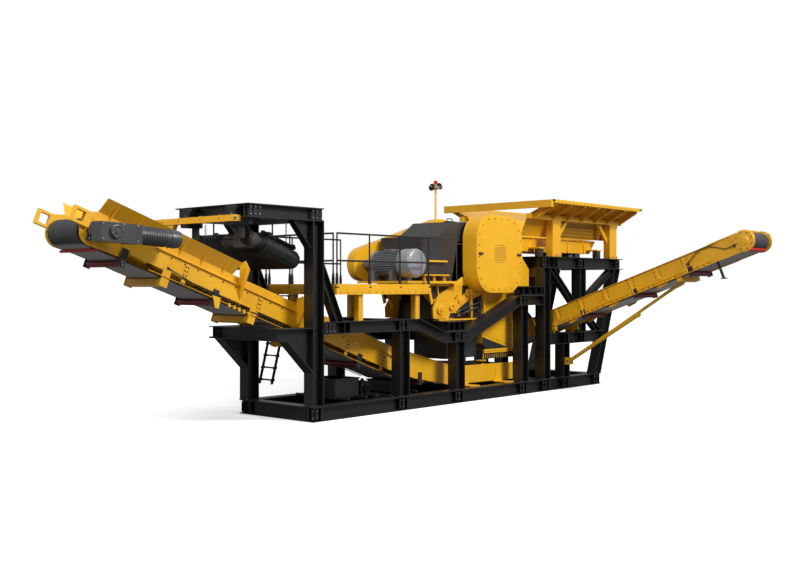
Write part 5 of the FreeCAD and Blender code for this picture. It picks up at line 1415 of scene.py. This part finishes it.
def mastDetails():
    lens, horns, collar = shapes(3)
    middle = (mastLow + mastHigh) / 2
    base = mastHigh.z - 0.112
    profile = [(0.052, 0.0), (0.052, 0.012)]
    for k in range(7):
        profile += [(0.0505, 0.016 + 0.011 * k), (0.0475, 0.021 + 0.011 * k)]
    profile += [(0.044, 0.098), (0.03, 0.109), (0.012, 0.1115)]
    lens.turned((middle.x, middle.y, base), (0, 0, 1), profile, sides=32)
    lens.done("beacon_lens", redLens, "roller_red")
    for side in (-1, 1):
        start = Vector((middle.x, middle.y + side * 0.03, base - 0.10))
        horns.turned(start, (side * 0.3, side * 1.0, 0.35),
                     [(0.03, 0.0), (0.035, 0.05), (0.05, 0.08), (0.095, 0.14), (0.10, 0.145),
                      (0.085, 0.146), (0.04, 0.10)], sides=24)
        horns.tube([(middle.x, middle.y, base - 0.14), (middle.x, middle.y + side * 0.08, base - 0.12),
                    (middle.x, middle.y + side * 0.11, base - 0.06)], 0.012, 8)
    horns.done("mast_horns", tubeEnamel, "rail_black")
    collar.turned((middle.x, middle.y, mastLow.z), (0, 0, 1),
                  [(0.09, 0.0), (0.09, 0.014), (0.04, 0.02), (0.04, 0.10), (0.03, 0.11)], sides=24)
    for k in range(4):
        collar.bolt((middle.x + 0.065 * math.cos(math.pi * k / 2),
                     middle.y + 0.065 * math.sin(math.pi * k / 2), mastLow.z + 0.014), (0, 0, 1), 0.012)
    collar.done("mast_collar", yellowEnamel, "mast_yellow")


mastDetails()
print("magnet, cross-beam and mast detailed")

# Studio: one pale floor to the horizon, a white surround and two large soft lights.
studio = {"floorHalf": 400.0, "surround": 0.36, "lift": (0.45, 1.0),
          "key": {"at": (3.0, -24.0, 20.0), "aim": (-1.0, 0.0, 2.0), "size": 9.0, "power": 7800.0},
          "side": {"at": (-20.0, -4.0, 16.0), "aim": (-2.0, 0.0, 2.0), "size": 9.0, "power": 2500.0}}


def softLight(name, look):
    lamp = bpy.data.lights.new(name, "AREA")
    lamp.shape = "DISK"
    lamp.size = look["size"]
    lamp.energy = look["power"]
    holder = bpy.data.objects.new(name, lamp)
    holder.location = look["at"]
    holder.rotation_euler = (Vector(look["aim"]) - Vector(look["at"])).to_track_quat("-Z", "Y").to_euler()
    bpy.context.scene.collection.objects.link(holder)


softLight("key softbox", studio["key"])
softLight("side softbox", studio["side"])

world = bpy.data.worlds.new("white surround")
bpy.context.scene.world = world
world.use_nodes = True
world.node_tree.nodes.clear()
sky = addNode(world.node_tree, "Background", {"Color": (1.0, 1.0, 1.0, 1.0), "Strength": studio["surround"]})
bright = addNode(world.node_tree, "Background", {"Color": (1.0, 1.0, 1.0, 1.0), "Strength": 1.0})
ray = addNode(world.node_tree, "LightPath")
either = addNode(world.node_tree, "MixShader", {}, {0: ray.outputs["Is Camera Ray"], 1: sky, 2: bright})
addNode(world.node_tree, "OutputWorld", {}, {"Surface": either})

# matt white studio vinyl, very slightly mottled
floorVinyl, tree, shader, place = newMaterial("white studio floor")
mottle = addNode(tree, "TexNoise", {"Scale": perMetre(2500.0), "Detail": 2.0}, {"Vector": place})
vinyl = mixColours(tree, mottle, colour("#FAFAFA"), colour("#FFFFFF"))
# the floor throws back less light than it shows, so undersides stay in shade
ray = addNode(tree, "LightPath")
shown = mixColours(tree, ray.outputs["Is Camera Ray"], colour("#7A7A7A"), vinyl)
setNode(tree, shader, {"Roughness": 0.9, "Specular IOR Level": 0.1}, {"Base Color": shown})
# back-lit like a light table, so that it stays white out to the horizon and shadows stay pale
away = addNode(tree, "VectorMath", {"operation": "LENGTH"}, {0: place})
far = addNode(tree, "MapRange", {"From Min": 11.0, "From Max": 34.0, "To Min": studio["lift"][0],
                                 "To Max": studio["lift"][1]}, {"Value": away.outputs["Value"]})
glow = addNode(tree, "Emission", {"Color": (1.0, 1.0, 1.0, 1.0)}, {"Strength": far})
plain = addNode(tree, "Emission", {"Strength": 0.0})
seen = addNode(tree, "MixShader", {}, {0: ray.outputs["Is Camera Ray"], 1: plain, 2: glow})
lifted = addNode(tree, "AddShader", {}, {0: shader, 1: seen})
setNode(tree, tree.nodes["Material Output"], {}, {"Surface": lifted})
half = studio["floorHalf"]
floorMesh = bpy.data.meshes.new("studio floor")
floorMesh.from_pydata([(-half, -half, 0), (half, -half, 0), (half, half, 0), (-half, half, 0)], [],
                      [(0, 1, 2, 3)])
floorMesh.materials.append(floorVinyl)
floor = bpy.data.objects.new("studio floor", floorMesh)
floor.location.z = -0.002
bpy.context.scene.collection.objects.link(floor)

eye = {"at": (-21.15, -17.37, 2.975), "turn": 42.03, "lens": 45.94}
cameraData = bpy.data.cameras.new("camera")
cameraData.lens = eye["lens"]
cameraData.sensor_width = 36.0
cameraData.clip_end = 1000.0
camera = bpy.data.objects.new("camera", cameraData)
camera.location = eye["at"]
ahead = Vector((math.cos(math.radians(eye["turn"])), math.sin(math.radians(eye["turn"])), 0.0))
camera.rotation_euler = ahead.to_track_quat("-Z", "Y").to_euler()
bpy.context.scene.collection.objects.link(camera)
bpy.context.scene.camera = camera
bpy.context.scene.view_settings.view_transform = "Standard"
print("studio and camera set")
